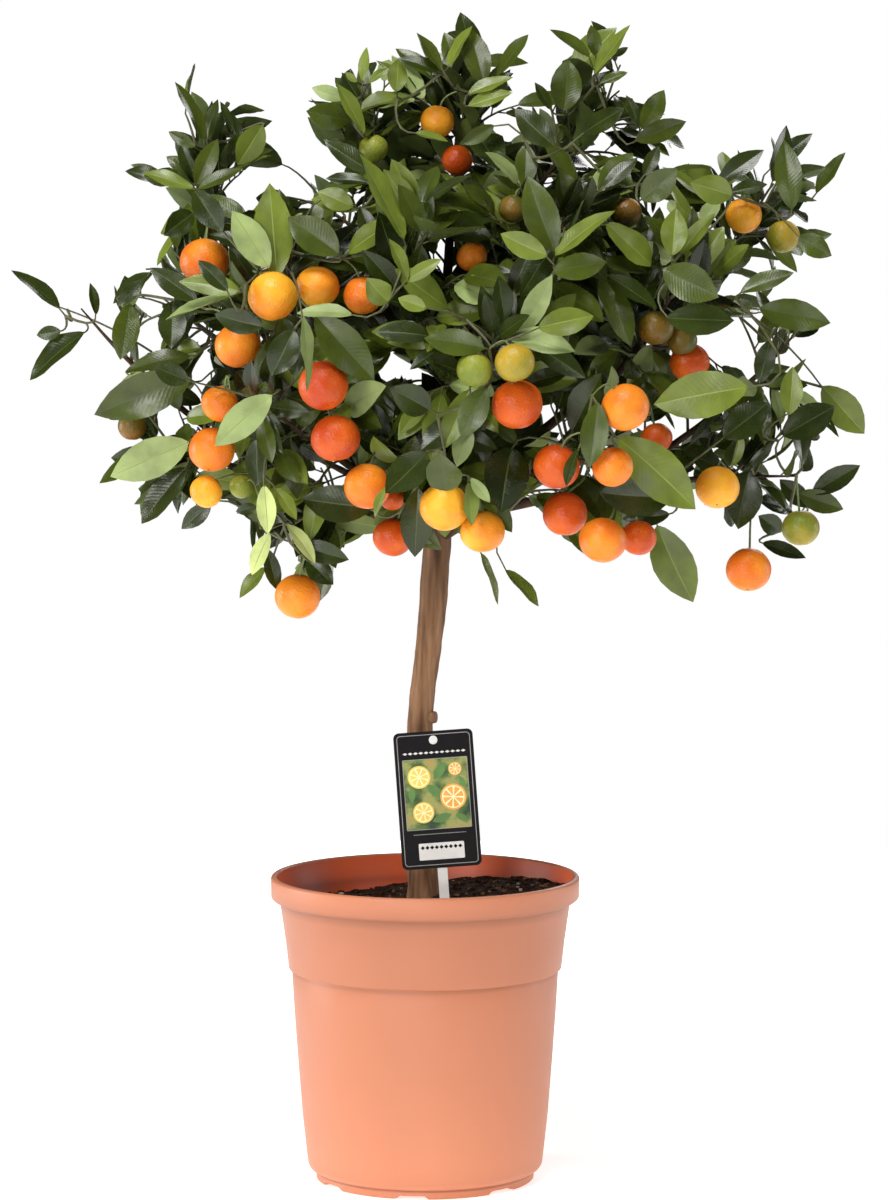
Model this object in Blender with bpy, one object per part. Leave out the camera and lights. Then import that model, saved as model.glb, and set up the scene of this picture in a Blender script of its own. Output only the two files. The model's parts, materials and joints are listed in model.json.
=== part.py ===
"""Calamondin orange tree in a round nursery pot.

Metres, +Z up, +X to the right and +Y away from the front. The origin is the
middle of the pot's flat underside. A slim trunk forks into boughs, and each
bough ends in its own mass of foliage, which keeps to its own space.
"""

import math
import random
from collections import namedtuple
from itertools import product

import bmesh
import bpy
from mathutils import Matrix, Vector
from mathutils.bvhtree import BVHTree

MM = 0.001
GAP = 0.3 * MM
CUT_GAP = 0.36 * MM
UP = Vector((0.0, 0.0, 1.0))
GOLDEN_ANGLE = math.pi * (3.0 - math.sqrt(5.0))

# The pot, as radius and height in millimetres along its turned outline.
POT_SIDES = 32
POT_OUTSIDE = (
    (15.0, 0.0), (16.0, 3.0), (73.0, 3.0), (74.0, 0.0), (79.0, 0.0), (80.5, 6.0),
    (84.5, 9.0), (86.6, 22.0), (89.4, 48.0), (92.9, 93.0), (96.9, 154.0), (98.6, 156.0),
    (105.6, 203.0), (110.2, 206.5), (112.0, 209.5), (112.0, 219.0), (110.0, 222.0),
)
POT_INSIDE = (
    (108.2, 221.6), (107.2, 212.0), (102.6, 199.0), (94.8, 151.0), (83.0, 12.0), (79.0, 8.0),
)
FOOT_CORNERS = (4, 5)
NOTCH_COUNT = 8
NOTCH_HEIGHT = 3.0
SOIL_TOP = 202.7

# The trunk's height, place along X and radius, in millimetres.
TRUNK_SIDES = 10
TRUNK_STATIONS = (
    (203.0, -1.0, 14.5), (209.0, -1.2, 13.0), (222.0, -1.6, 11.6), (260.0, -2.6, 10.6),
    (310.0, -3.4, 10.0), (342.0, -3.2, 9.6), (365.0, -0.4, 9.1), (388.0, 2.5, 9.8),
    (411.0, 5.0, 10.1), (435.0, 6.8, 10.6), (466.0, 8.8, 10.2), (478.0, 9.2, 10.3),
    (494.0, 9.6, 10.2), (501.0, 9.8, 9.4), (507.0, 10.0, 7.6),
)
FLARE_LOBES = 5
FLARE_DEPTH = 0.13
FLARE_HEIGHT = 22.0
STUB_HEIGHT = 337.0
STUB_RADIUS = 3.4
STUB_REACH = 12.5

# The plant label: a card with rounded corners, pegged to a flat stick.
CARD_WIDTH = 57.0
CARD_HEIGHT = 98.0
CARD_THICKNESS = 0.8
CARD_CORNER = 4.0
CARD_CORNER_STEPS = 4
CARD_CENTRE = Vector((9.0, -42.0, 283.0)) * MM
CARD_LEAN = math.radians(-4.2)
CARD_TILT = math.radians(-10.0)
PEG_HEIGHT = 42.5
HOLE_RADIUS = 2.6
PEG_RADIUS = 2.2
PEG_HEAD_RADIUS = 3.4
PEG_HEAD_THICKNESS = 1.0
PEG_SIDES = 12
STICK_WIDTH = 7.0
STICK_THICKNESS = 1.6
STICK_TOP = 46.0
STICK_BOTTOM = -106.0

# One row for each mass of foliage, in millimetres: the limb that its bough
# forks from, where it forks (a height on the trunk, a share of the length on a
# bough), the middle of the mass, its half sizes along X, Y and Z, and the
# furthest points that its leading leaves reach.
Mass = namedtuple("Mass", "name parent fork centre half tips")
MASSES = (
    Mass("top_centre", "trunk", 498, (25, -10, 780), (64, 59, 71),
         ((-5, -15, 822), (32, -10, 836), (70, -10, 826))),
    Mass("top_left", "top_centre", 0.55, (-45, 0, 752), (62, 59, 71),
         ((-82, -5, 788), (-44, 10, 818), (-85, 15, 742))),
    Mass("top_right", "top_centre", 0.46, (122, 8, 760), (80, 64, 78),
         ((96, 5, 834), (147, 5, 836), (188, 10, 770))),
    Mass("left_spire", "left_upper", 0.66, (-162, 20, 738), (57, 52, 75),
         ((-180, 20, 796), (-149, 15, 784), (-204, 22, 730), (-114, 25, 752))),
    Mass("left_upper", "trunk", 490, (-158, -42, 648), (66, 66, 64),
         ((-205, -50, 672),)),
    Mass("left_sprig", "left_low", 0.72, (-238, -18, 625), (66, 50, 59),
         ((-295, -20, 665), (-278, -25, 590), (-252, -10, 662))),
    Mass("left_front", "left_upper", 0.5, (-92, -132, 668), (68, 66, 66),
         ((-122, -150, 700),)),
    Mass("left_low", "trunk", 467, (-186, -22, 535), (71, 64, 64),
         ((-244, -20, 560), (-234, -25, 518), (-210, -10, 484))),
    Mass("left_low_front", "trunk", 477, (-108, -138, 568), (71, 68, 64),
         ((-150, -150, 530),)),
    Mass("left_hanging", "left_low_front", 0.2, (-102, -78, 482), (62, 59, 66),
         ((-118, -80, 428), (-62, -70, 446))),
    Mass("front_left", "front", 0.6, (-18, -142, 665), (64, 66, 68),
         ((-40, -190, 640),)),
    Mass("front", "trunk", 487, (46, -172, 608), (66, 64, 62),
         ((20, -215, 575),)),
    Mass("front_low", "front", 0.3, (-6, -126, 532), (66, 64, 62),
         ((-16, -130, 474), (36, -140, 520))),
    Mass("front_right", "top_centre", 0.3, (98, -128, 690), (68, 66, 68),
         ((70, -180, 715),)),
    Mass("right_front", "right_low_front", 0.55, (174, -104, 648), (66, 66, 66),
         ((215, -140, 660),)),
    Mass("right_low_front", "trunk", 467, (124, -130, 538), (71, 68, 73),
         ((188, -140, 430), (66, -120, 478))),
    Mass("right_upper", "trunk", 491, (244, 0, 708), (71, 62, 57),
         ((248, 0, 756), (272, 0, 752), (298, 5, 744), (292, 0, 676))),
    Mass("right_sprig", "right_low", 0.55, (258, -48, 612), (64, 52, 59),
         ((294, -50, 622), (270, -50, 650))),
    Mass("right_low", "trunk", 476, (252, -56, 515), (66, 64, 66),
         ((319, -50, 552), (300, -60, 490), (252, -45, 462))),
    Mass("back_left_low", "trunk", 478, (-112, 112, 532), (75, 73, 68),
         ((-160, 150, 500), (-100, 170, 490))),
    Mass("back_left", "left_upper", 0.42, (-186, 86, 632), (71, 68, 66),
         ((-240, 110, 640), (-210, 130, 600))),
    Mass("back_left_high", "top_centre", 0.36, (-72, 108, 702), (73, 71, 66),
         ((-100, 150, 740), (-60, 160, 700))),
    Mass("back", "trunk", 486, (18, 158, 602), (73, 66, 71),
         ((0, 214, 590), (50, 210, 640))),
    Mass("back_right_low", "trunk", 470, (134, 112, 528), (75, 73, 68),
         ((170, 160, 490), (120, 170, 500))),
    Mass("back_right", "right_upper", 0.45, (202, 84, 622), (71, 68, 68),
         ((258, 100, 630), (230, 130, 590))),
    Mass("back_right_high", "top_centre", 0.62, (88, 108, 704), (73, 71, 66),
         ((120, 150, 745), (80, 165, 700))),
)

# Middle and radius of each fruit, in millimetres, by the mass that bears it.
FRUITS = {
    "left_upper": ((-154, -75, 667, 17.5), (-129, -120, 610, 16.0)),
    "left_front": ((-103, -165, 645, 17.0), (-73, -145, 651, 15.0), (-42, -140, 645, 13.5)),
    "left_low_front": ((-68, -185, 585, 17.0), (-60, -178, 549, 17.0), (-141, -130, 570, 13.0),
                       (-147, -125, 538, 16.0)),
    "left_hanging": ((-89, -90, 433, 16.0), (-151, -125, 509, 11.5)),
    "front_low": ((-39, -160, 515, 16.0), (-22, -110, 476, 14.0), (14, -175, 502, 17.0),
                  (40, -160, 484, 15.5)),
    "front": ((63, -200, 573, 17.5), (34, -215, 597, 12.0), (61, -222, 602, 13.5)),
    "right_low_front": ((136, -200, 571, 16.5), (90, -185, 530, 16.0), (128, -190, 530, 14.0),
                        (97, -145, 495, 15.5), (122, -172, 479, 16.5), (148, -140, 478, 12.5)),
    "right_front": ((185, -95, 597, 14.0), (160, -120, 622, 12.5)),
    "right_low": ((204, -110, 511, 15.5), (228, -80, 451, 16.0), (266, -60, 479, 13.5)),
    "right_upper": ((226, -35, 699, 13.0), (255, -25, 684, 12.0)),
    "top_centre": ((9, -45, 765, 12.0),),
    "back_left_low": ((-130, 150, 505, 16.5), (-85, 160, 545, 15.5)),
    "back_left": ((-215, 110, 606, 16.0), (-180, 130, 640, 15.5)),
    "back_left_high": ((-95, 150, 690, 15.5),),
    "back": ((0, 200, 580, 17.0), (45, 195, 560, 16.0), (30, 205, 625, 14.0)),
    "back_right_low": ((150, 155, 500, 16.0), (110, 165, 535, 16.5)),
    "back_right": ((225, 110, 596, 16.0), (185, 130, 640, 15.0)),
    "back_right_high": ((110, 150, 690, 15.5),),
}

# Where the sky shows through the crown, seen from a point in front of it:
# place along X, height and radius at the crown's middle, in millimetres.
FRONT_POINT = Vector((14.0, -3235.0, 717.0)) * MM
OPENINGS = (
    (-29, 590, 12), (0, 582, 14), (140, 606, 9), (-68, 510, 11), (108, 568, 7),
    (68, 527, 16), (12, 666, 7), (29, 630, 6), (225, 603, 20),
)

CROWN_MIDDLE = Vector((10.0, 0.0, 600.0)) * MM

# The furthest that leaves reach along X, Y and Z, in millimetres.
CROWN_LOW = (-297.0, -236.0, 414.0)
CROWN_HIGH = (321.0, 228.0, 838.0)

# Boughs: radii in metres, and how a bough leaves its parent limb.
BOUGH_SIDES = 5
BOUGH_POINTS = 5
LEADER_RADIUS = 7.0 * MM
BOUGH_RADIUS = 4.6 * MM
BOUGH_TIP_RADIUS = 2.4 * MM
LEADER_FORK = 494.0
FORK_TAPER = 0.8
FORK_LEAN = 0.45
FORK_RISE = 0.28
FORK_REACH = 0.22
BOUGH_ENTRY = 0.85
ENTRY_STEP = 0.01

# Twigs of one mass: a stem that carries on from the bough, and shoots from it.
STEM_SIDES = 4
STEM_POINTS = 3
STEM_TIP_RADIUS = 1.7 * MM
STEM_OVERSHOOT = 0.2
TWIG_SIDES = 3
TWIG_RADII = (0.8 * MM, 1.6 * MM, 1.3 * MM)
TWIG_ARCHES = (0.12, 0.0, 0.35, -0.15)
TIP_MISS = 6.0 * MM
TWIG_REACHES = (1.0, 0.88, 0.75)
LEAF_SCALES = (1.0, 0.85, 0.7, 0.6)
TWIG_STARTS = (0.1, 0.96)
TWIG_REACH = 0.95
SHORTEST_TWIG = 9.0 * MM
MOST_TWIGS = 6
GROWTH_TRIES = 12
TARGETS = 9
CLEARANCE = 0.5 * MM
SHORTEST_EDGE = 0.002 * MM

# Leaves, larger than life so that few of them fill the crown.
LEAF_LENGTH = 66.0 * MM
LEAF_WIDTH = 34.0 * MM
LEAF_VARIATION = 0.14
LEAF_STEP = 14.0 * MM
LEAF_FIRST = 0.2
LEAF_TRIES = 9
LEAF_FACES_OUT = 1.3
LEAF_BORDER = 1.15
KEEL_SHARE = 0.3
KEEL_DEPTH = 0.14
LEAF_ARCH = 0.14
LEAF_SUNK = 1.2 * MM
ROOT_SUNK = 0.4 * MM
LEAF_SECTIONS = ((0.36, 0.92), (0.70, 0.80))
LEAF_SPREAD = 0.85
LEAF_ALONG = 0.55

# Fruit and its stalk.
FRUIT_SIDES = 7
FRUIT_RINGS = 4
FRUIT_SWELL = 1.04
STALK_RADII = (0.8 * MM, 1.4 * MM, 1.2 * MM)
STALK_LEANS = (0.0, 0.7, 2.0)
STALK_RISES = (0.9, 1.6, 0.4, 2.4)
STALK_SUNK = 0.45

BARK = ((0.34, 0.24, 0.15), 0.85)
LEAF_GREEN = ((0.06, 0.16, 0.03), 0.45)
TERRACOTTA = ((0.80, 0.36, 0.20), 0.5)
SOIL_BROWN = ((0.05, 0.03, 0.02), 0.95)
CARD_BLACK = ((0.02, 0.02, 0.02), 0.4)
STICK_WHITE = ((0.75, 0.75, 0.72), 0.4)
SMOOTH_ANGLE = math.radians(40.0)

Shape = namedtuple("Shape", "verts faces")
Solid = namedtuple("Solid", "shape tree middle reach")
Limb = namedtuple("Limb", "points radii")
Growth = namedtuple("Growth", "mass stem body fruits roomy stalks walls")


def main():
    clear_scene()
    make_pot()
    make_soil()
    make_label()
    masses = [in_metres(mass) for mass in MASSES]
    limbs = plan_limbs(masses)
    make_trunk()
    for mass in masses:
        make_bough(mass, limbs)
    make_foliage(masses, limbs)


def clear_scene():
    """Remove every object that the new file started with."""
    for item in list(bpy.data.objects):
        bpy.data.objects.remove(item)


def in_metres(mass):
    """The same row with its places and sizes in metres."""
    return mass._replace(
        centre=Vector(mass.centre) * MM,
        half=Vector(mass.half) * MM,
        tips=[Vector(tip) * MM for tip in mass.tips],
    )


def make_material(name, look):
    """A plain material from a colour and a roughness."""
    colour, roughness = look
    material = bpy.data.materials.new(name)
    material.use_nodes = True
    shader = material.node_tree.nodes["Principled BSDF"]
    shader.inputs["Base Color"].default_value = (*colour, 1.0)
    shader.inputs["Roughness"].default_value = roughness
    return material


def make_object(name, shape, look):
    """A mesh object from a shape, with its own material."""
    mesh = bpy.data.meshes.new(name)
    mesh.from_pydata(shape.verts, [], shape.faces)
    mesh.materials.append(make_material(name, look))
    mesh.shade_smooth()
    mesh.set_sharp_from_angle(angle=SMOOTH_ANGLE)
    item = bpy.data.objects.new(name, mesh)
    bpy.context.collection.objects.link(item)
    return item


def combine(target, operation, name, shape, look):
    """Join a hidden shape to an object, or cut it out of the object."""
    helper = make_object(name, shape, look)
    helper.hide_render = True
    helper.display_type = "WIRE"
    modifier = target.modifiers.new(name, "BOOLEAN")
    modifier.operation = operation
    modifier.object = helper


def moved(shape, matrix):
    return Shape([matrix @ Vector(vert) for vert in shape.verts], shape.faces)


def prism(outline, low, high):
    """A solid from an outline in X and Z, in millimetres, along Y from low to high."""
    count = len(outline)
    verts = [Vector((x, low, z)) * MM for x, z in outline]
    verts += [Vector((x, high, z)) * MM for x, z in outline]
    faces = [tuple(range(count)), tuple(range(2 * count - 1, count - 1, -1))]
    for index in range(count):
        after = (index + 1) % count
        faces.append((index, count + index, count + after, after))
    return Shape(verts, faces)


def rectangle(width, bottom, top):
    half = width / 2.0
    return [(-half, bottom), (half, bottom), (half, top), (-half, top)]


def circle(radius, height, sides):
    """Corners of a circle round a point on the middle line at this height."""
    angles = [2.0 * math.pi * side / sides for side in range(sides)]
    return [(radius * math.cos(angle), height + radius * math.sin(angle)) for angle in angles]


def rounded_rectangle(width, height, corner, steps):
    """Outline of a rectangle with round corners, its middle at the origin."""
    outline = []
    for quarter, (side_x, side_z) in enumerate(((1, 1), (-1, 1), (-1, -1), (1, -1))):
        middle_x = side_x * (width / 2.0 - corner)
        middle_z = side_z * (height / 2.0 - corner)
        for step in range(steps + 1):
            angle = math.pi / 2.0 * (quarter + step / steps)
            point = (middle_x + corner * math.cos(angle), middle_z + corner * math.sin(angle))
            outline.append(point)
    return outline


def turned(outline, sides, lift=None):
    """A solid turned round Z from an outline in millimetres that starts and ends on the axis.

    lift(corner, side) raises single corners of the outline, in millimetres.
    """
    rings = outline[1:-1]
    verts = [Vector((0.0, 0.0, outline[0][1])) * MM]
    for ring, (radius, height) in enumerate(rings):
        for side in range(sides):
            angle = 2.0 * math.pi * side / sides
            rise = lift(ring + 1, side) if lift else 0.0
            corner = (radius * math.cos(angle), radius * math.sin(angle), height + rise)
            verts.append(Vector(corner) * MM)
    verts.append(Vector((0.0, 0.0, outline[-1][1])) * MM)
    last = len(verts) - 1
    top = last - sides
    faces = []
    for side in range(sides):
        after = (side + 1) % sides
        faces.append((0, 1 + after, 1 + side))
        faces.append((last, top + side, top + after))
        for ring in range(len(rings) - 1):
            low = 1 + ring * sides
            high = low + sides
            faces.append((low + side, low + after, high + after, high + side))
    return Shape(verts, faces)


def make_pot():
    """Pot with a rolled lip, a ledge, and notches in its foot ring."""
    sides_per_notch = POT_SIDES // NOTCH_COUNT

    def notch(corner, side):
        is_open = corner in FOOT_CORNERS and side % sides_per_notch < 2
        return NOTCH_HEIGHT if is_open else 0.0

    floor = POT_INSIDE[-1][1]
    outline = ((0.0, 0.0), *POT_OUTSIDE, *POT_INSIDE, (0.0, floor))
    make_object("pot", turned(outline, POT_SIDES, notch), TERRACOTTA)


def make_soil():
    """The filled inside of the pot, with a slot for the label's stick."""
    gap = GAP / MM
    wall_top, ledge, wall_bottom, floor_edge = POT_INSIDE[-4:]
    slope = (wall_top[0] - ledge[0]) / (wall_top[1] - ledge[1])
    top_radius = wall_top[0] + slope * (SOIL_TOP - wall_top[1]) - gap
    outline = (
        (0.0, floor_edge[1] + gap),
        (floor_edge[0] - gap, floor_edge[1] + gap),
        (wall_bottom[0] - gap, wall_bottom[1] + gap),
        (ledge[0] - gap, ledge[1] + gap),
        (top_radius, SOIL_TOP),
        (0.0, SOIL_TOP),
    )
    soil = make_object("soil", turned(outline, POT_SIDES), SOIL_BROWN)
    front, back = stick_depth()
    outline = rectangle(STICK_WIDTH + 2.0 * gap, STICK_BOTTOM - gap, STICK_TOP)
    slot = moved(prism(outline, front - gap, back + gap), label_place())
    combine(soil, "DIFFERENCE", "stick_slot", slot, SOIL_BROWN)


def label_place():
    """Where the label's middle is and how it leans."""
    lean = Matrix.Rotation(CARD_LEAN, 4, "Y")
    tilt = Matrix.Rotation(CARD_TILT, 4, "X")
    return Matrix.Translation(CARD_CENTRE) @ lean @ tilt


def stick_depth():
    """Front and back of the stick along Y in the label's own frame, in millimetres."""
    front = CARD_THICKNESS / 2.0 + GAP / MM
    return front, front + STICK_THICKNESS


def make_label():
    """A card that hangs on the peg of a stick pushed into the soil."""
    place = label_place()
    half = CARD_THICKNESS / 2.0
    outline = rounded_rectangle(CARD_WIDTH, CARD_HEIGHT, CARD_CORNER, CARD_CORNER_STEPS)
    card = make_object("label_card", moved(prism(outline, -half, half), place), CARD_BLACK)
    hole = prism(circle(HOLE_RADIUS, PEG_HEIGHT, PEG_SIDES), -2.0 * half, 2.0 * half)
    combine(card, "DIFFERENCE", "peg_hole", moved(hole, place), CARD_BLACK)

    front, back = stick_depth()
    strip = prism(rectangle(STICK_WIDTH, STICK_BOTTOM, STICK_TOP), front, back)
    stick = make_object("label_stick", moved(strip, place), STICK_WHITE)
    head_back = -front
    head_front = head_back - PEG_HEAD_THICKNESS
    middle = (head_back + head_front) / 2.0
    peg = prism(circle(PEG_RADIUS, PEG_HEIGHT, PEG_SIDES), middle, (front + back) / 2.0)
    combine(stick, "UNION", "peg", moved(peg, place), STICK_WHITE)
    head = prism(circle(PEG_HEAD_RADIUS, PEG_HEIGHT, PEG_SIDES), head_front, head_back)
    combine(stick, "UNION", "peg_head", moved(head, place), STICK_WHITE)


def trunk_shape(extra=0.0):
    """The trunk with its root flare, or with room round it, in millimetres."""
    ground = TRUNK_STATIONS[0][0]
    last = len(TRUNK_STATIONS) - 1
    verts = []
    for index, (height, across, radius) in enumerate(TRUNK_STATIONS):
        near_ground = max(0.0, 1.0 - (height - ground) / FLARE_HEIGHT) ** 2
        rise = extra if index == last else 0.0
        for side in range(TRUNK_SIDES):
            angle = 2.0 * math.pi * side / TRUNK_SIDES
            out = radius * (1.0 + FLARE_DEPTH * near_ground * math.cos(FLARE_LOBES * angle))
            corner = (across + (out + extra) * math.cos(angle),
                      (out + extra) * math.sin(angle), height + rise)
            verts.append(Vector(corner) * MM)
    return Shape(verts, ring_faces(len(TRUNK_STATIONS), TRUNK_SIDES))


def make_trunk():
    """Trunk cut flat at the soil, with the stub of a pruned shoot."""
    trunk = make_object("trunk", trunk_shape(), BARK)
    middle = Vector((-3.0, 0.0, STUB_HEIGHT)) * MM
    out = Vector((0.85, -0.45, 0.35)).normalized()
    stub = tube([middle, middle + out * STUB_REACH * MM], [STUB_RADIUS * MM] * 2, 6)
    combine(trunk, "UNION", "pruned_stub", stub, BARK)


def ring_faces(rings, sides):
    """Faces of a closed tube whose rings of corners follow each other."""
    faces = [tuple(range(sides - 1, -1, -1))]
    faces.append(tuple(range((rings - 1) * sides, rings * sides)))
    for ring in range(rings - 1):
        low = ring * sides
        high = low + sides
        for side in range(sides):
            after = (side + 1) % sides
            faces.append((low + side, low + after, high + after, high + side))
    return faces


def tube(points, radii, sides, first_along=None):
    """A closed tube along points, with flat ends square to it."""
    verts = []
    count = len(points)
    across = None
    for index, (point, radius) in enumerate(zip(points, radii)):
        before = points[max(index - 1, 0)]
        after = points[min(index + 1, count - 1)]
        along = (after - before).normalized()
        if index == 0 and first_along:
            along = first_along
        if across is None:
            across = along.orthogonal()
        across = (across - along * across.dot(along)).normalized()
        other = along.cross(across)
        for side in range(sides):
            angle = 2.0 * math.pi * side / sides
            verts.append(point + (across * math.cos(angle) + other * math.sin(angle)) * radius)
    return Shape(verts, ring_faces(count, sides))


def curve_point(start, control, end, share):
    """A point on the curve from start to end that leans towards control."""
    rest = 1.0 - share
    return start * rest * rest + control * 2.0 * share * rest + end * share * share


def curve_points(start, control, end, count):
    return [curve_point(start, control, end, index / (count - 1)) for index in range(count)]


def taper(first, last, count):
    """Radii that go evenly from first to last."""
    return [first + (last - first) * index / (count - 1) for index in range(count)]


def depth_in(mass, point):
    """How far out a point is in a mass: 0 at its middle, 1 at its border."""
    away = point - mass.centre
    return Vector([away[axis] / mass.half[axis] for axis in range(3)]).length


def plan_limbs(masses):
    """Centre lines and radii of the trunk and of the bough to each mass."""
    rows = {mass.name: mass for mass in masses}
    points = [Vector((across, 0.0, height)) * MM for height, across, radius in TRUNK_STATIONS]
    radii = [radius * MM for height, across, radius in TRUNK_STATIONS]
    limbs = {"trunk": Limb(points, radii)}

    def plan(name):
        if name not in limbs:
            limbs[name] = plan_bough(rows[name], plan(rows[name].parent))
        return limbs[name]

    for name in rows:
        plan(name)
    return limbs


def plan_bough(mass, parent):
    """The bough's line, from inside its parent limb to where it enters its mass."""
    if mass.parent == "trunk":
        start, along, radius = trunk_place(mass.fork * MM, parent)
        leads = mass.fork >= LEADER_FORK
        thickness = LEADER_RADIUS if leads else BOUGH_RADIUS
        if not leads:
            flat = mass.centre - start
            flat.z = 0.0
            along = (flat.normalized() + UP * FORK_LEAN).normalized()
    else:
        start, along, radius = limb_place(parent, mass.fork)
        thickness = radius * FORK_TAPER
    reach = mass.centre - start
    control = start + along * reach.length * FORK_RISE + reach * FORK_REACH
    share = 1.0
    while depth_in(mass, curve_point(start, control, mass.centre, share)) < BOUGH_ENTRY:
        share -= ENTRY_STEP
    points = []
    for index in range(BOUGH_POINTS):
        step = share * index / (BOUGH_POINTS - 1)
        points.append(curve_point(start, control, mass.centre, step))
    return Limb(points, taper(thickness, BOUGH_TIP_RADIUS, BOUGH_POINTS))


def trunk_place(height, trunk):
    """Point on the trunk's middle line at a height, its direction and the radius there."""
    pairs = list(zip(trunk.points, trunk.points[1:]))
    for index, (low, high) in enumerate(pairs):
        if low.z <= height <= high.z:
            break
    share = (height - low.z) / (high.z - low.z)
    radius = trunk.radii[index] + (trunk.radii[index + 1] - trunk.radii[index]) * share
    return low.lerp(high, share), UP, radius


def limb_place(limb, share):
    """Point on a limb at a share of its points, its direction and the radius there."""
    step = share * (len(limb.points) - 1)
    index = min(int(step), len(limb.points) - 2)
    low, high = limb.points[index], limb.points[index + 1]
    part = step - index
    radius = limb.radii[index] + (limb.radii[index + 1] - limb.radii[index]) * part
    return low.lerp(high, part), (high - low).normalized(), radius


def make_bough(mass, limbs):
    """One tapering limb, cut back a little clear of the limb that it forks from."""
    limb = limbs[mass.name]
    bough = make_object("bough_" + mass.name, tube(*limb, BOUGH_SIDES), BARK)
    if mass.parent == "trunk":
        room = trunk_shape(CUT_GAP / MM)
    else:
        parent = limbs[mass.parent]
        room = tube(parent.points, [radius + CUT_GAP for radius in parent.radii], BOUGH_SIDES)
    combine(bough, "DIFFERENCE", "clear_of_parent_" + mass.name, room, BARK)


def solid(shape):
    """A shape with what is needed to test quickly whether it meets another."""
    low = Vector([min(vert[axis] for vert in shape.verts) for axis in range(3)])
    high = Vector([max(vert[axis] for vert in shape.verts) for axis in range(3)])
    tree = BVHTree.FromPolygons(shape.verts, shape.faces)
    return Solid(shape, tree, (low + high) / 2.0, (high - low).length / 2.0)


def meets(one, others):
    """Whether a solid's surface crosses any of the others."""
    for other in others:
        near = (one.middle - other.middle).length < one.reach + other.reach
        if near and one.tree.overlap(other.tree):
            return True
    return False


def walls_of(mass, masses):
    """The planes half-way to each neighbour and round the crown: a point and the way out."""
    walls = []
    for other in masses:
        if other is mass:
            continue
        towards = other.centre - mass.centre
        here = reach_along(mass.half, towards)
        there = reach_along(other.half, towards)
        walls.append((mass.centre + towards * here / (here + there), towards.normalized()))
    for axis in range(3):
        out = Matrix.Identity(3).col[axis].copy()
        walls.append((out * CROWN_HIGH[axis] * MM, out))
        walls.append((out * CROWN_LOW[axis] * MM, -out))
    return walls


def reach_along(half, towards):
    """Radius of an ellipsoid in one direction."""
    way = towards.normalized()
    return 1.0 / Vector([way[axis] / half[axis] for axis in range(3)]).length


def keeps_inside(points, walls):
    return all((point - wall).dot(out) < -CLEARANCE for wall, out in walls for point in points)


def shows_sky(shape):
    """Whether a shape reaches into one of the openings of the crown."""
    samples = list(shape.verts)
    for face in shape.faces:
        samples.append(sum((shape.verts[corner] for corner in face), Vector()) / len(face))
    for across, height, radius in OPENINGS:
        line = (Vector((across, 0.0, height)) * MM - FRONT_POINT).normalized()
        for sample in samples:
            away = sample - FRONT_POINT
            if (away - line * away.dot(line)).length < radius * MM:
                return True
    return False


def leaf(root, along, face_up, length, width):
    """An arched blade from a root point, with the deepest point of its keel underneath."""
    side = along.cross(face_up).normalized()
    face_up = side.cross(along)

    def middle(share):
        return root + along * share * length - face_up * LEAF_ARCH * share * share * length

    verts = [root]
    for share, spread in LEAF_SECTIONS:
        half = side * width * spread / 2.0
        verts += [middle(share) - half, middle(share) + half]
    verts += [middle(1.0), middle(KEEL_SHARE) - face_up * KEEL_DEPTH * width]
    faces = [
        (0, 1, 2), (1, 3, 4), (1, 4, 2), (3, 5, 4),
        (0, 6, 1), (0, 2, 6), (1, 6, 3), (3, 6, 5), (5, 6, 4), (4, 6, 2),
    ]
    return Shape(verts, faces)


def ball(centre, radius):
    """A round fruit with few faces."""
    verts = [centre - UP * radius]
    for ring in range(1, FRUIT_RINGS):
        polar = math.pi * ring / FRUIT_RINGS
        for side in range(FRUIT_SIDES):
            angle = 2.0 * math.pi * side / FRUIT_SIDES
            out = Vector((math.sin(polar) * math.cos(angle), math.sin(polar) * math.sin(angle),
                          -math.cos(polar)))
            verts.append(centre + out * radius)
    verts.append(centre + UP * radius)
    last = len(verts) - 1
    top = last - FRUIT_SIDES
    faces = []
    for side in range(FRUIT_SIDES):
        after = (side + 1) % FRUIT_SIDES
        faces.append((0, 1 + after, 1 + side))
        faces.append((last, top + side, top + after))
        for ring in range(FRUIT_RINGS - 2):
            low = 1 + ring * FRUIT_SIDES
            high = low + FRUIT_SIDES
            faces.append((low + side, low + after, high + after, high + side))
    return Shape(verts, faces)


def grow_stem(mass, limb):
    """The stem that carries on from the bough's tip to just past the mass's middle."""
    along = (limb.points[-1] - limb.points[-2]).normalized()
    start = limb.points[-1] + along * GAP
    reach = mass.centre - start
    end = mass.centre + reach * STEM_OVERSHOOT
    points = curve_points(start, start + along * reach.length / 2.0, end, STEM_POINTS)
    return Limb(points, taper(BOUGH_TIP_RADIUS, STEM_TIP_RADIUS, STEM_POINTS)), along


def grow_stalks(plan, others):
    """Twigs that reach over each fruit and down into it, each from its own place."""
    count = len(plan.fruits)
    shares = [(index + 1) / (count + 2) for index in range(count + 1)]
    stalks = []
    for centre, radius in plan.fruits:
        shares.sort(key=lambda share: (limb_place(plan.stem, share)[0] - centre).length)
        for lean, rise, share in product(STALK_LEANS, STALK_RISES, shares):
            start = limb_place(plan.stem, share)[0]
            way = (UP + (start - centre).normalized() * lean).normalized()
            control = centre + way * radius * (1.0 + rise)
            end = centre + way * radius * STALK_SUNK
            points = curve_points(start, control, end, len(STALK_RADII))
            stalk = solid(tube(points, STALK_RADII, TWIG_SIDES))
            if not meets(stalk, others):
                stalks.append(stalk)
                shares.remove(share)
                break
        else:
            raise RuntimeError(plan.mass.name + " has a fruit that no stalk can reach")
    return stalks


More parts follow.
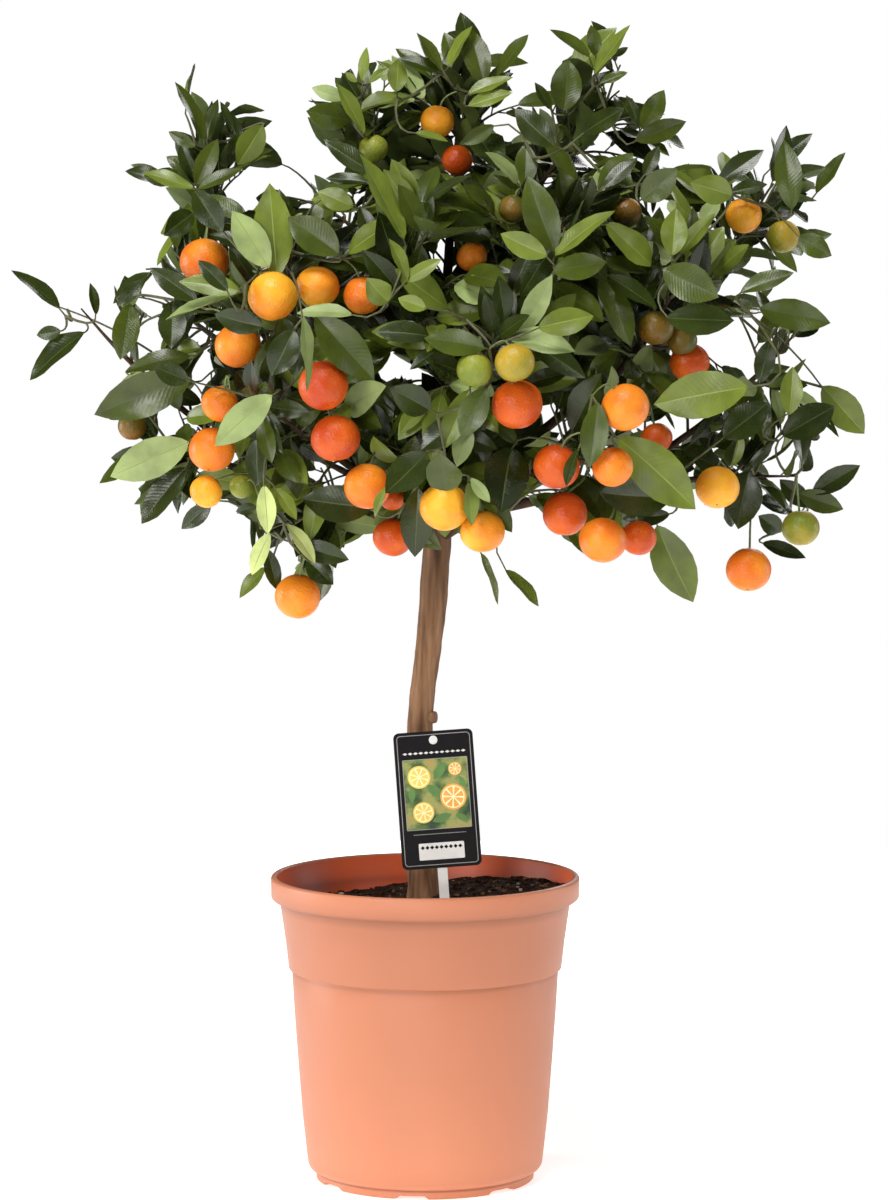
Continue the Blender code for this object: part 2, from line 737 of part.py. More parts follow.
def grow_twig(start, tip, length, arch):
    """A twig from a point of the stem whose end leaf about reaches tip."""
    along = (tip - start).normalized()
    for _ in range(3):
        end = tip - along * length
        control = start.lerp(end, 0.5) + UP * (end - start).length * arch
        along = (end - control).normalized()
    return Limb(curve_points(start, control, end, len(TWIG_RADII)), TWIG_RADII), along


def grow_mass(plan, others, dice):
    """Twigs and leaves that fill a mass's space, as a list of solids."""
    mass, stem = plan.mass, plan.stem
    along = stem.points[-1] - stem.points[0]
    targets = mass.tips + fill_targets(mass, dice)
    targets.sort(key=lambda target: target.dot(along))
    first, last = TWIG_STARTS
    twigs = []
    for index, target in enumerate(targets):
        if target not in mass.tips and len(twigs) + len(mass.tips) >= MOST_TWIGS:
            continue
        start = limb_place(stem, first + (last - first) * index / (len(targets) - 1))[0]
        length = LEAF_LENGTH * dice.uniform(1.0 - LEAF_VARIATION, 1.0 + LEAF_VARIATION)
        twig = find_twig(plan, start, target, length, others, twigs)
        if twig:
            twigs.append(twig)
    return [twig for limb, twig, end_leaf in twigs] + add_leaves(plan, twigs, others, dice)


def fill_targets(mass, dice):
    """Points spread evenly over the border of a mass."""
    targets = []
    for index in range(TARGETS):
        height = 1.0 - 2.0 * (index + 0.5) / TARGETS
        angle = index * GOLDEN_ANGLE + dice.uniform(0.0, 0.8)
        flat = math.sqrt(1.0 - height * height)
        way = (flat * math.cos(angle), flat * math.sin(angle), height)
        border = Vector([way[axis] * mass.half[axis] for axis in range(3)])
        targets.append(mass.centre + border * TWIG_REACH)
    return targets


def find_twig(plan, start, target, length, others, twigs):
    """The first twig towards a target, with its end leaf, that has room."""
    leaves = [end_leaf for limb, twig, end_leaf in twigs]
    for reach, scale, arch in product(TWIG_REACHES, LEAF_SCALES, TWIG_ARCHES):
        tip = plan.mass.centre.lerp(target, reach)
        size = length * scale
        if (tip - start).length < size + SHORTEST_TWIG:
            continue
        limb, along = grow_twig(start, tip, size, arch)
        if (limb.points[-1] + along * size - tip).length > TIP_MISS:
            continue
        twig = solid(tube(*limb, TWIG_SIDES))
        end_leaf = place_leaf(limb.points[-1] - along * LEAF_SUNK, along, size + LEAF_SUNK)
        free = has_room(twig, plan.walls, others)
        if free and has_room(end_leaf, plan.walls, others + leaves):
            return limb, twig, end_leaf
    return None


def has_room(piece, walls, others):
    """Whether a piece keeps to its space, meets nothing and leaves the openings free."""
    inside = keeps_inside(piece.shape.verts, walls)
    return inside and not shows_sky(piece.shape) and not meets(piece, others)


def place_leaf(root, along, length):
    """A leaf whose face looks up and outwards."""
    outward = (root - CROWN_MIDDLE).normalized()
    face_up = UP + outward * LEAF_FACES_OUT
    if abs(along.dot(face_up.normalized())) > 0.95:
        face_up = outward - UP * 0.2
    return solid(leaf(root, along, face_up, length, length * LEAF_WIDTH / LEAF_LENGTH))


def add_leaves(plan, twigs, others, dice):
    """Leaves round the stem and the twigs at the golden angle, where there is room."""
    leaves = [end_leaf for limb, twig, end_leaf in twigs]
    bearers = [(limb, twig) for limb, twig, end_leaf in twigs] + [(plan.stem, plan.body)]
    for limb, bearer in bearers:
        length = sum((high - low).length for low, high in zip(limb.points, limb.points[1:]))
        count = max(1, round(length * (1.0 - LEAF_FIRST) / LEAF_STEP))
        rest = [other for line, other in bearers if other is not bearer]
        turn = dice.uniform(0.0, 2.0 * math.pi)
        for step in range(count):
            share = LEAF_FIRST + (1.0 - LEAF_FIRST) * step / count
            root, along, radius = limb_place(limb, share)
            turn += GOLDEN_ANGLE
            size = LEAF_LENGTH * dice.uniform(1.0 - LEAF_VARIATION, 1.0 + LEAF_VARIATION)
            placed = find_room(plan, root, along, turn, size, others + leaves + rest)
            if placed:
                leaves.append(placed)
    return leaves


def find_room(plan, root, along, turn, size, blocked):
    """A leaf at the first turn round the twig where it meets nothing."""
    across = along.orthogonal().normalized()
    other = along.cross(across)
    for attempt in range(LEAF_TRIES):
        angle = turn + attempt * 2.0 * math.pi / LEAF_TRIES
        out = across * math.cos(angle) + other * math.sin(angle)
        way = (along * LEAF_ALONG + out * LEAF_SPREAD + UP * 0.1).normalized()
        placed = place_leaf(root - way * ROOT_SUNK, way, size)
        near = depth_in(plan.mass, placed.shape.verts[-1]) < LEAF_BORDER
        if near and has_room(placed, plan.walls, blocked):
            return placed
    return None


def make_foliage(masses, limbs):
    """All masses: first every stem, fruit and stalk, then the twigs and leaves between them."""
    wood = []
    for limb in limbs.values():
        roomy = [radius + CLEARANCE for radius in limb.radii]
        wood.append(solid(tube(limb.points, roomy, BOUGH_SIDES)))
    plans = [plan_growth(mass, limbs[mass.name], masses) for mass in masses]
    for plan in plans:
        others = wood + [other.body for other in plans if other is not plan]
        plan.stalks.extend(grow_stalks(plan, others + parts_of_others(plan, plans)))
    for plan in plans:
        make_mass(plan, wood + parts_of_others(plan, plans) + plan.roomy)


def plan_growth(mass, limb, masses):
    """The stem, the fruits and the walls of one mass, before its twigs are grown."""
    stem, along = grow_stem(mass, limb)
    rows = FRUITS.get(mass.name, ())
    fruits = [(Vector(row[:3]) * MM, row[3] * FRUIT_SWELL * MM) for row in rows]
    roomy = [solid(ball(centre, radius + CLEARANCE)) for centre, radius in fruits]
    body = solid(tube(*stem, STEM_SIDES, along))
    return Growth(mass, stem, body, fruits, roomy, [], walls_of(mass, masses))


def parts_of_others(plan, plans):
    """The fruits and stalks of all the other masses."""
    parts = []
    for other in plans:
        if other is not plan:
            parts += other.roomy + other.stalks
    return parts


def make_mass(plan, others):
    """One mass as a single closed body, grown anew from another seed while it has a flaw."""
    name = "foliage_" + plan.mass.name
    body = make_object(name, plan.body.shape, LEAF_GREEN)
    fruits = [ball(centre, radius) for centre, radius in plan.fruits]
    for attempt in range(GROWTH_TRIES):
        dice = random.Random(f"{name} {attempt}")
        grown = grow_mass(plan, others, dice)
        joined = join_all(body, fruits + [piece.shape for piece in plan.stalks + grown])
        if keep_largest(joined):
            body.data = joined
            return
        bpy.data.meshes.remove(joined)
    raise RuntimeError(name + " has a flaw at every try")


def join_all(body, pieces):
    """The union of a body and other shapes, as a new mesh."""
    group = bpy.data.collections.new(body.name + "_pieces")
    for index, piece in enumerate(pieces):
        mesh = bpy.data.meshes.new(f"{body.name}_piece_{index}")
        mesh.from_pydata(piece.verts, [], piece.faces)
        group.objects.link(bpy.data.objects.new(mesh.name, mesh))
    modifier = body.modifiers.new("union", "BOOLEAN")
    modifier.operation = "UNION"
    modifier.operand_type = "COLLECTION"
    modifier.collection = group
    bpy.context.view_layer.update()
    view = bpy.context.evaluated_depsgraph_get()
    joined = bpy.data.meshes.new_from_object(body.evaluated_get(view))
    body.modifiers.clear()
    for item in list(group.objects):
        bpy.data.objects.remove(item)
    bpy.data.collections.remove(group)
    return joined


def keep_largest(mesh):
    """Keep the largest body of a mesh, and say whether it is closed and has no sliver."""
    work = bmesh.new()
    work.from_mesh(mesh)
    bmesh.ops.triangulate(work, faces=work.faces)
    unseen = set(work.verts)
    bodies = []
    while unseen:
        queue = [unseen.pop()]
        body = set(queue)
        while queue:
            for edge in queue.pop().link_edges:
                for vert in edge.verts:
                    if vert in unseen:
                        unseen.discard(vert)
                        body.add(vert)
                        queue.append(vert)
        bodies.append(body)
    bodies.sort(key=len)
    for body in bodies[:-1]:
        bmesh.ops.delete(work, geom=list(body), context="VERTS")
    sound = all(edge.is_manifold and edge.calc_length() > SHORTEST_EDGE for edge in work.edges)
    work.to_mesh(mesh)
    work.free()
    mesh.shade_smooth()
    mesh.set_sharp_from_angle(angle=SMOOTH_ANGLE)
    return sound


main()
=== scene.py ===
"""Looks of the calamondin orange tree: bark, twigs, leaves, fruit, soil, pot and label.

Metres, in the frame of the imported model. The crown grows on from the model's limbs by
the rule of its source, carried on to real leaves on fine twigs.
"""

import json
import math
import random
from collections import namedtuple

import bpy
import numpy as np
from mathutils import Matrix, Vector, noise
from mathutils.bvhtree import BVHTree

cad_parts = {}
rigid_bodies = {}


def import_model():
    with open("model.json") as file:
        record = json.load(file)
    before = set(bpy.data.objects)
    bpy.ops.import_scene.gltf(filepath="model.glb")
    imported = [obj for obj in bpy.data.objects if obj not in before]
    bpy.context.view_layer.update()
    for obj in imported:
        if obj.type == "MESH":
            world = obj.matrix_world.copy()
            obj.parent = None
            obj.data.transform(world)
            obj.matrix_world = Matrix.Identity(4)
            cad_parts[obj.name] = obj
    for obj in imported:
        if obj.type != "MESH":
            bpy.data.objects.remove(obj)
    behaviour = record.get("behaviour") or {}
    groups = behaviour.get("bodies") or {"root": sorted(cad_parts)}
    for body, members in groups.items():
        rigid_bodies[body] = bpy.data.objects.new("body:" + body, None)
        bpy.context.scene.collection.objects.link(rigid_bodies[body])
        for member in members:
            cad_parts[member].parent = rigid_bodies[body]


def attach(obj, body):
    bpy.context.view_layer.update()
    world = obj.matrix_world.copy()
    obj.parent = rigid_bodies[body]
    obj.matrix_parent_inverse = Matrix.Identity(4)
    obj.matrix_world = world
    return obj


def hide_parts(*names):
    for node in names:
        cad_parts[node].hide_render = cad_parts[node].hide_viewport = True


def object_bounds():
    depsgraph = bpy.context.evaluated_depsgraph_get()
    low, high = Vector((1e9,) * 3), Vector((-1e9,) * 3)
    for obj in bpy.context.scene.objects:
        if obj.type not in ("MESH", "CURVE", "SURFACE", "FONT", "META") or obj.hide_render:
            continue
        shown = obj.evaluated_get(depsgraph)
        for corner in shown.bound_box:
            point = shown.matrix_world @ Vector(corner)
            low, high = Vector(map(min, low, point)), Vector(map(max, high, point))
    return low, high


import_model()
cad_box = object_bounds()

MM = 0.001
UP = Vector((0.0, 0.0, 1.0))
GOLDEN_ANGLE = math.pi * (3.0 - math.sqrt(5.0))
SEED = 7

# The camera, as the photograph has it.
IMAGE_WIDTH = 888
IMAGE_HEIGHT = 1200
FOCAL_LENGTH = 135.0
SENSOR = 36.0
PIXELS = FOCAL_LENGTH / SENSOR * IMAGE_HEIGHT
CAMERA_PLACE = Vector((0.0137, -3.235, 0.717))
CAMERA_TILT = math.radians(5.206)

# The trunk's height, place along X and radius, in millimetres.
TRUNK_STATIONS = (
    (203.0, -1.0, 14.5), (209.0, -1.2, 13.0), (222.0, -1.6, 11.6), (260.0, -2.6, 10.6),
    (310.0, -3.4, 10.0), (342.0, -3.2, 9.6), (365.0, -0.4, 9.1), (388.0, 2.5, 9.8),
    (411.0, 5.0, 10.1), (435.0, 6.8, 10.6), (466.0, 8.8, 10.2), (478.0, 9.2, 10.3),
    (494.0, 9.6, 10.2), (501.0, 9.8, 9.4), (507.0, 10.0, 7.6),
)

# The trunk's flared foot and its pruned stub, in millimetres.
FLARE_LOBES = 5
FLARE_DEPTH = 0.13
FLARE_HEIGHT = 22.0
STUB_START = (-3.0, 0.0, 337.0)
STUB_WAY = (0.85, -0.35, 0.05)
STUB_RADII = (6.4, 4.4)
STUB_REACH = 11.6
STUB_RINGS = 8

# One row for each mass of foliage, as the model has it, in millimetres.
Mass = namedtuple("Mass", "name parent fork centre half tips")
MASSES = (
    Mass("top_centre", "trunk", 498, (25, -10, 780), (64, 59, 71),
         ((-5, -15, 822), (32, -10, 836), (70, -10, 826))),
    Mass("top_left", "top_centre", 0.55, (-45, 0, 752), (62, 59, 71),
         ((-82, -5, 788), (-44, 10, 818), (-85, 15, 742))),
    Mass("top_right", "top_centre", 0.46, (122, 8, 760), (80, 64, 78),
         ((96, 5, 834), (147, 5, 836), (188, 10, 770))),
    Mass("left_spire", "left_upper", 0.66, (-162, 20, 738), (57, 52, 75),
         ((-180, 20, 796), (-149, 15, 784), (-204, 22, 730), (-114, 25, 752))),
    Mass("left_upper", "trunk", 490, (-158, -42, 648), (66, 66, 64),
         ((-205, -50, 672),)),
    Mass("left_sprig", "left_low", 0.72, (-238, -18, 625), (66, 50, 59),
         ((-295, -20, 665), (-278, -25, 590), (-252, -10, 662))),
    Mass("left_front", "left_upper", 0.5, (-92, -132, 668), (68, 66, 66),
         ((-122, -150, 700),)),
    Mass("left_low", "trunk", 467, (-186, -22, 535), (71, 64, 64),
         ((-244, -20, 560), (-234, -25, 518), (-210, -10, 484))),
    Mass("left_low_front", "trunk", 477, (-108, -138, 568), (71, 68, 64),
         ((-150, -150, 530),)),
    Mass("left_hanging", "left_low_front", 0.2, (-102, -78, 482), (62, 59, 66),
         ((-118, -80, 428), (-62, -70, 446))),
    Mass("front_left", "front", 0.6, (-18, -142, 665), (64, 66, 68),
         ((-40, -190, 640),)),
    Mass("front", "trunk", 487, (46, -172, 608), (66, 64, 62),
         ((20, -215, 575),)),
    Mass("front_low", "front", 0.3, (-6, -126, 532), (66, 64, 62),
         ((-16, -130, 474), (36, -140, 520))),
    Mass("front_right", "top_centre", 0.3, (98, -128, 690), (68, 66, 68),
         ((70, -180, 715),)),
    Mass("right_front", "right_low_front", 0.55, (174, -104, 648), (66, 66, 66),
         ((215, -140, 660),)),
    Mass("right_low_front", "trunk", 467, (124, -130, 538), (71, 68, 73),
         ((188, -140, 430), (66, -120, 478))),
    Mass("right_upper", "trunk", 491, (244, 0, 708), (71, 62, 57),
         ((248, 0, 756), (272, 0, 752), (298, 5, 744), (292, 0, 676))),
    Mass("right_sprig", "right_low", 0.55, (258, -48, 612), (64, 52, 59),
         ((294, -50, 622), (270, -50, 650))),
    Mass("right_low", "trunk", 476, (252, -56, 515), (66, 64, 66),
         ((319, -50, 552), (300, -60, 490), (252, -45, 462))),
    Mass("back_left_low", "trunk", 478, (-112, 112, 532), (75, 73, 68),
         ((-160, 150, 500), (-100, 170, 490))),
    Mass("back_left", "left_upper", 0.42, (-186, 86, 632), (71, 68, 66),
         ((-240, 110, 640), (-210, 130, 600))),
    Mass("back_left_high", "top_centre", 0.36, (-72, 108, 702), (73, 71, 66),
         ((-100, 150, 740), (-60, 160, 700))),
    Mass("back", "trunk", 486, (18, 158, 602), (73, 66, 71),
         ((0, 214, 590), (50, 210, 640))),
    Mass("back_right_low", "trunk", 470, (134, 112, 528), (75, 73, 68),
         ((170, 160, 490), (120, 170, 500))),
    Mass("back_right", "right_upper", 0.45, (202, 84, 622), (71, 68, 68),
         ((258, 100, 630), (230, 130, 590))),
    Mass("back_right_high", "top_centre", 0.62, (88, 108, 704), (73, 71, 66),
         ((120, 150, 745), (80, 165, 700))),
)

# Middle, radius and ripeness of each fruit, in millimetres, by the mass that bears it.
FRUITS = {
    "left_upper": ((-154, -75, 667, 17.5, "orange"), (-129, -120, 610, 16.0, "orange")),
    "left_front": ((-103, -165, 645, 17.0, "amber"), (-73, -145, 651, 15.0, "amber"),
                   (-42, -140, 645, 13.5, "orange")),
    "left_low_front": ((-68, -185, 585, 17.0, "red"), (-60, -178, 549, 17.0, "red"),
                       (-141, -130, 570, 13.0, "orange"), (-147, -125, 538, 16.0, "orange")),
    "left_hanging": ((-89, -90, 433, 16.0, "orange"), (-151, -125, 509, 11.5, "amber"),
                     (-127, -115, 512, 8.5, "green")),
    "front_low": ((-39, -160, 515, 16.0, "orange"), (-22, -110, 476, 14.0, "red"),
                  (14, -175, 502, 17.0, "yellow"), (40, -160, 484, 15.5, "amber"),
                  (-22, -120, 504, 9.0, "red")),
    "front": ((63, -200, 573, 17.5, "red"), (34, -215, 597, 12.0, "green"),
              (61, -222, 602, 13.5, "lime")),
    "right_low_front": ((136, -200, 571, 16.5, "orange"), (90, -185, 530, 16.0, "red"),
                        (128, -190, 530, 14.0, "orange"), (97, -145, 495, 15.5, "red"),
                        (122, -172, 479, 16.5, "orange"), (148, -140, 478, 12.5, "red"),
                        (161, -120, 546, 11.0, "red")),
    "right_front": ((185, -95, 597, 14.0, "red"), (160, -120, 622, 12.5, "olive"),
                    (179, -110, 613, 10.5, "olive")),
    "right_low": ((204, -110, 511, 15.5, "amber"), (228, -80, 451, 16.0, "orange"),
                  (266, -60, 479, 13.5, "lime")),
    "right_upper": ((226, -35, 699, 13.0, "yellow"), (255, -25, 684, 12.0, "lime")),
    "left_sprig": ((-209, -20, 549, 10.5, "olive"),),
    "front_left": ((33, -110, 671, 11.0, "orange"),),
    "front_right": ((141, -80, 701, 11.0, "olive"), (61, -120, 704, 10.0, "olive")),
    "top_centre": ((9, -45, 765, 12.0, "amber"), (23, -40, 738, 11.0, "red")),
    "top_left": ((-36, -50, 746, 10.5, "green"),),
    "back_left_low": ((-69, 165, 531, 15.5, "amber"), (-159, 120, 524, 16.0, "orange")),
    "back_left": ((-140, 150, 601, 16.5, "orange"), (-163, 125, 664, 15.5, "red")),
    "back_left_high": ((-112, 150, 646, 15.5, "amber"),),
    "back": ((69, 180, 555, 16.0, "orange"), (30, 190, 603, 14.0, "lime")),
    "back_right_low": ((98, 165, 508, 17.0, "red"), (141, 150, 509, 16.0, "amber"),
                       (150, 160, 554, 16.5, "orange")),
    "back_right": ((202, 110, 569, 16.0, "orange"), (178, 120, 612, 15.0, "olive")),
    "back_right_high": ((89, 150, 686, 15.5, "orange"),),
}

# Growth of the limbs, as in the model.
BOUGH_POINTS = 5
LEADER_RADIUS = 7.0 * MM
BOUGH_RADIUS = 4.6 * MM
BOUGH_TIP_RADIUS = 2.4 * MM
LEADER_FORK = 494.0
FORK_TAPER = 0.8
FORK_LEAN = 0.45
FORK_RISE = 0.28
FORK_REACH = 0.22
BOUGH_ENTRY = 0.85
ENTRY_STEP = 0.01
STEM_POINTS = 3
STEM_TIP_RADIUS = 0.7 * MM
STEM_OVERSHOOT = 0.2

# Finer twigs: how many each mass has, and how they leave its stem.
TWIGS = 13
BARE = ("left_sprig",)
SPARSE = {"left_sprig": 3, "left_spire": 6, "right_sprig": 9, "left_hanging": 8, "right_low": 10}
TWIG_POINTS = 6
TWIG_STARTS = (0.02, 0.98)
TWIG_ENDS = 0.62
TIP_ROOM = 34.0 * MM
TWIG_BASE_RADIUS = 1.15 * MM
TWIG_TIP_RADIUS = 0.65 * MM
TWIG_ARCH = 0.16
PETIOLE_RADIUS = 0.55 * MM
PETIOLE_LENGTH = 5.5 * MM
STALK_RADII = (0.6 * MM, 0.85 * MM)

# How a twig to a leaf or fruit finds its way: points of wood to start from, and bends in millimetres.
WOOD_CHOICES = 40
BENDS = ((0, 0, 0), (0, 15, 0), (0, 30, 0), (0, 15, 16), (0, 15, -16), (15, 15, 0), (-15, 15, 0),
         (0, 30, 28), (0, 30, -28), (26, 30, 0), (-26, 30, 0), (0, 55, 0), (0, 55, 30),
         (0, 55, -30), (0, 90, 0), (35, 70, 0), (-35, 70, 0))

# Leaves of real size. A twig ends at the last leaf whose blade shows by more than a share.
LEAF_SHOWS = 0.22
LEAF_LENGTH = 41.0 * MM
LEAF_RATIO = 0.42
LEAF_VARIATION = 0.30
LEAF_STEP = 5.5 * MM
LEAF_FIRST = 0.18
LEAF_TRIES = 5
LEAF_THICKNESS = 0.5 * MM
END_LEAN = (0.35, 0.8)
SIDE_LEAN = (0.8, 1.4)

# Ranges of a leaf's arch, fold, wave, twist and turn, by the rule and in the list.
LEAF_FORM = ((0.04, 0.30), (0.22, 0.62), (0.02, 0.18), (-0.45, 0.45), (-0.08, 0.08))
LISTED_FORM = ((0.04, 0.18), (0.26, 0.52), (0.04, 0.16), (-0.35, 0.35), (-0.07, 0.07))
FRUIT_ROOM = 1.2 * MM
TWIG_ROOM = 0.6 * MM
END_LEAVES = 3
LEAF_SHARES = (0.0, 0.06, 0.16, 0.30, 0.46, 0.62, 0.77, 0.90, 1.0)
LEAF_SPANS = (-1.0, -0.54, -0.035, 0.035, 0.54, 1.0)
GRID = 60.0 * MM
CROWN_BORDER = 1.04
CORE_SHARE = 0.86
CORE_TWIGS = 5
CORE_REACH = 46.0 * MM
TIP_WIDTH = 15.0 * MM
BOX_MARGIN = 7.0 * MM

# The crown's rounded front, where the listed leaves lie, and how far they may leave their mass.
CROWN_MIDDLE = Vector((0.010, 0.0, 0.622))
CROWN_HALF = Vector((0.305, 0.215, 0.218))
MASS_SPREAD = 1.3
MASS_REACH = 1.15
BACK_LIMIT = 10.0
NUDGES = (0, -6, 6, -12, 12, -18, 18, -26, 26, 36)

# Shares of a listed fruit's radius and a listed leaf's width that other leaves leave in view.
FRUIT_IN_VIEW = 0.85
LEAF_IN_VIEW = 0.42

# The widest and the slimmest blade of a listed leaf, as shares of its length.
WIDEST_LEAF = 0.56
SLIMMEST_LEAF = 0.36
STEM_MARKS = 12

# Leaves that show singly from the front. Pixels of the photograph: root, tip and
# width, then the tone and how far behind the crown's front they lie, in millimetres.
# A darker tone in this list is partly the leaf's own green and partly painted shade.
FRONT_LEAVES = (
    (277, 277, 269, 181, 38, "fresh", 30), (269, 268, 232, 209, 31, "pale", 20),
    (339, 254, 289, 214, 34, "mid", 35), (368, 182, 325, 176, 12, "dark", 40),
    (353, 207, 317, 189, 22, "fresh", 40), (404, 240, 362, 150, 22, "fresh", 15),
    (240, 291, 178, 275, 22, "fresh", 0), (237, 294, 162, 316, 10, "pale", -5),
    (197, 301, 150, 265, 22, "dark", 20), (228, 291, 198, 258, 17, "dark", -30),
    (353, 315, 296, 303, 12, "pale", -10), (302, 315, 315, 393, 13, "pale", -22),
    (315, 315, 378, 383, 38, "mid", -4), (294, 329, 272, 378, 30, "dark", 10),
    (263, 327, 213, 316, 24, "dark", 14), (173, 302, 171, 348, 27, "dark", 10),
    (272, 395, 211, 444, 31, "pale", -14), (189, 442, 108, 477, 38, "pale", 10),
    (191, 378, 89, 413, 42, "mid", 10), (187, 467, 135, 521, 24, "dark", 20),
    (211, 503, 181, 530, 18, "dark", 20), (405, 282, 441, 257, 14, "fresh", 10),
    (407, 280, 393, 235, 12, "fresh", 5), (388, 302, 366, 280, 25, "fresh", 5),
    (426, 309, 398, 296, 16, "fresh", 0), (485, 348, 424, 334, 26, "mid", -6),
    (487, 388, 457, 436, 28, "mid", -8), (430, 410, 393, 388, 30, "dark", 4),
    (447, 491, 441, 455, 34, "mid", -18), (471, 478, 490, 504, 12, "pale", -14),
    (418, 488, 415, 561, 31, "dark", 4), (427, 452, 389, 495, 34, "dark", 0),
    (512, 447, 499, 506, 43, "deep", 14), (468, 482, 474, 528, 14, "fresh", -16),
    (372, 508, 300, 500, 36, "dark", 10), (387, 487, 371, 517, 8, "fresh", -12),
    (547, 256, 499, 235, 24, "fresh", 6), (553, 272, 608, 259, 26, "mid", 4),
    (555, 256, 610, 200, 20, "fresh", 6), (555, 252, 524, 176, 34, "mid", 12),
    (672, 256, 677, 207, 26, "fresh", 10), (680, 254, 713, 209, 17, "fresh", 12),
    (538, 328, 595, 313, 27, "fresh", -2), (663, 270, 718, 296, 36, "mid", 10),
    (666, 318, 736, 322, 30, "dark", 4), (759, 309, 834, 319, 30, "mid", 0),
    (740, 293, 794, 268, 15, "mid", 0), (770, 340, 759, 385, 20, "dark", 10),
    (822, 386, 867, 436, 33, "fresh", 0), (748, 387, 650, 402, 45, "fresh", 6),
    (618, 438, 704, 508, 46, "fresh", -16), (598, 402, 591, 470, 27, "mid", -26),
    (579, 448, 563, 487, 9, "dark", -30), (672, 497, 596, 497, 40, "dark", -6),
    (657, 525, 690, 609, 40, "fresh", 20), (481, 553, 503, 604, 9, "fresh", 40),
    (505, 570, 542, 604, 10, "fresh", 40), (723, 438, 771, 401, 32, "dark", 6),
    (783, 436, 838, 404, 32, "dark", 4), (789, 415, 796, 366, 22, "fresh", 10),
    (749, 471, 735, 526, 37, "dark", -4), (812, 494, 859, 462, 22, "dark", 0),
    (808, 507, 781, 477, 20, "dark", 4), (670, 514, 621, 522, 18, "dark", 0),
    (298, 544, 349, 563, 22, "dark", 4),
    (798, 493, 844, 511, 22, "mid", 0), (781, 531, 760, 516, 20, "dark", 10),
    (762, 543, 807, 557, 15, "dark", 0), (798, 237, 832, 254, 22, "mid", 0),
    (816, 194, 843, 149, 12, "mid", 0), (792, 210, 783, 137, 26, "mid", 0),
    (717, 184, 765, 147, 18, "dark", 0), (732, 196, 691, 180, 28, "fresh", -10),
    (729, 193, 769, 182, 13, "dark", 0), (363, 82, 366, 46, 10, "fresh", 0),
    (369, 83, 387, 65, 8, "fresh", 0), (357, 82, 345, 72, 7, "fresh", 0),
    (345, 99, 311, 86, 15, "pale", 0), (350, 121, 307, 110, 26, "mid", 0),
    (364, 134, 338, 81, 13, "fresh", -8), (372, 172, 322, 141, 20, "dark", 0),
    (442, 69, 416, 32, 13, "mid", 0), (440, 73, 399, 51, 12, "dark", 0),
    (448, 67, 468, 22, 12, "fresh", 0), (484, 84, 470, 25, 26, "mid", 4),
    (497, 76, 526, 32, 12, "mid", 0), (468, 94, 513, 73, 13, "fresh", -4),
    (468, 106, 513, 91, 14, "fresh", -8), (396, 92, 400, 58, 19, "fresh", 0),
    (494, 125, 462, 147, 15, "mid", -16), (415, 133, 450, 138, 8, "fresh", -20),
    (590, 57, 552, 24, 13, "mid", 0), (596, 57, 593, 23, 14, "mid", 0),
    (594, 75, 629, 22, 14, "fresh", -6), (613, 57, 628, 46, 7, "mid", 0),
    (600, 84, 628, 71, 8, "mid", 0), (564, 111, 570, 58, 30, "mid", 4),
    (551, 110, 536, 80, 11, "dark", 8), (582, 134, 625, 104, 20, "dark", -4),
    (641, 129, 668, 90, 21, "mid", 0), (640, 128, 628, 94, 12, "dark", 6),
    (636, 141, 687, 119, 21, "mid", -4), (555, 146, 511, 110, 26, "dark", 6),
    (644, 176, 659, 145, 14, "dark", 0), (641, 200, 678, 171, 28, "mid", 0),
    (204, 141, 183, 76, 15, "mid", 0), (207, 140, 214, 97, 14, "dark", 4),
    (195, 147, 167, 131, 12, "mid", 0), (194, 189, 141, 167, 14, "fresh", -4),
    (198, 189, 244, 165, 14, "mid", 0), (196, 186, 215, 136, 20, "mid", -6),
    (232, 132, 222, 100, 8, "dark", 0), (263, 125, 237, 166, 26, "fresh", -4),
    (240, 146, 228, 107, 14, "dark", 4), (194, 190, 222, 233, 26, "dark", 0),
    (193, 213, 165, 234, 24, "dark", 0), (60, 309, 15, 264, 14, "dark", 0),
    (96, 315, 91, 282, 9, "dark", 0), (61, 331, 35, 335, 14, "dark", 0),
    (85, 332, 23, 374, 18, "dark", 0), (118, 306, 144, 278, 14, "dark", 0),
    (130, 303, 123, 361, 26, "mid", -4), (188, 381, 153, 366, 22, "dark", 6),
    (264, 485, 270, 536, 19, "young", -6), (270, 533, 248, 575, 16, "young", -6),
    (275, 488, 300, 520, 12, "fresh", -4), (286, 524, 320, 562, 12, "young", -2),
    (268, 549, 276, 593, 16, "dark", 6), (256, 506, 236, 513, 12, "dark", 6),
    (307, 560, 333, 583, 22, "dark", 6),
)

# Thin twigs that show singly against the sky, as three pixels each.
FRONT_TWIGS = (
    ("left_sprig", (152, 352), (106, 326), (56, 306)),
    ("right_sprig", (708, 292), (770, 330), (822, 387)),
)

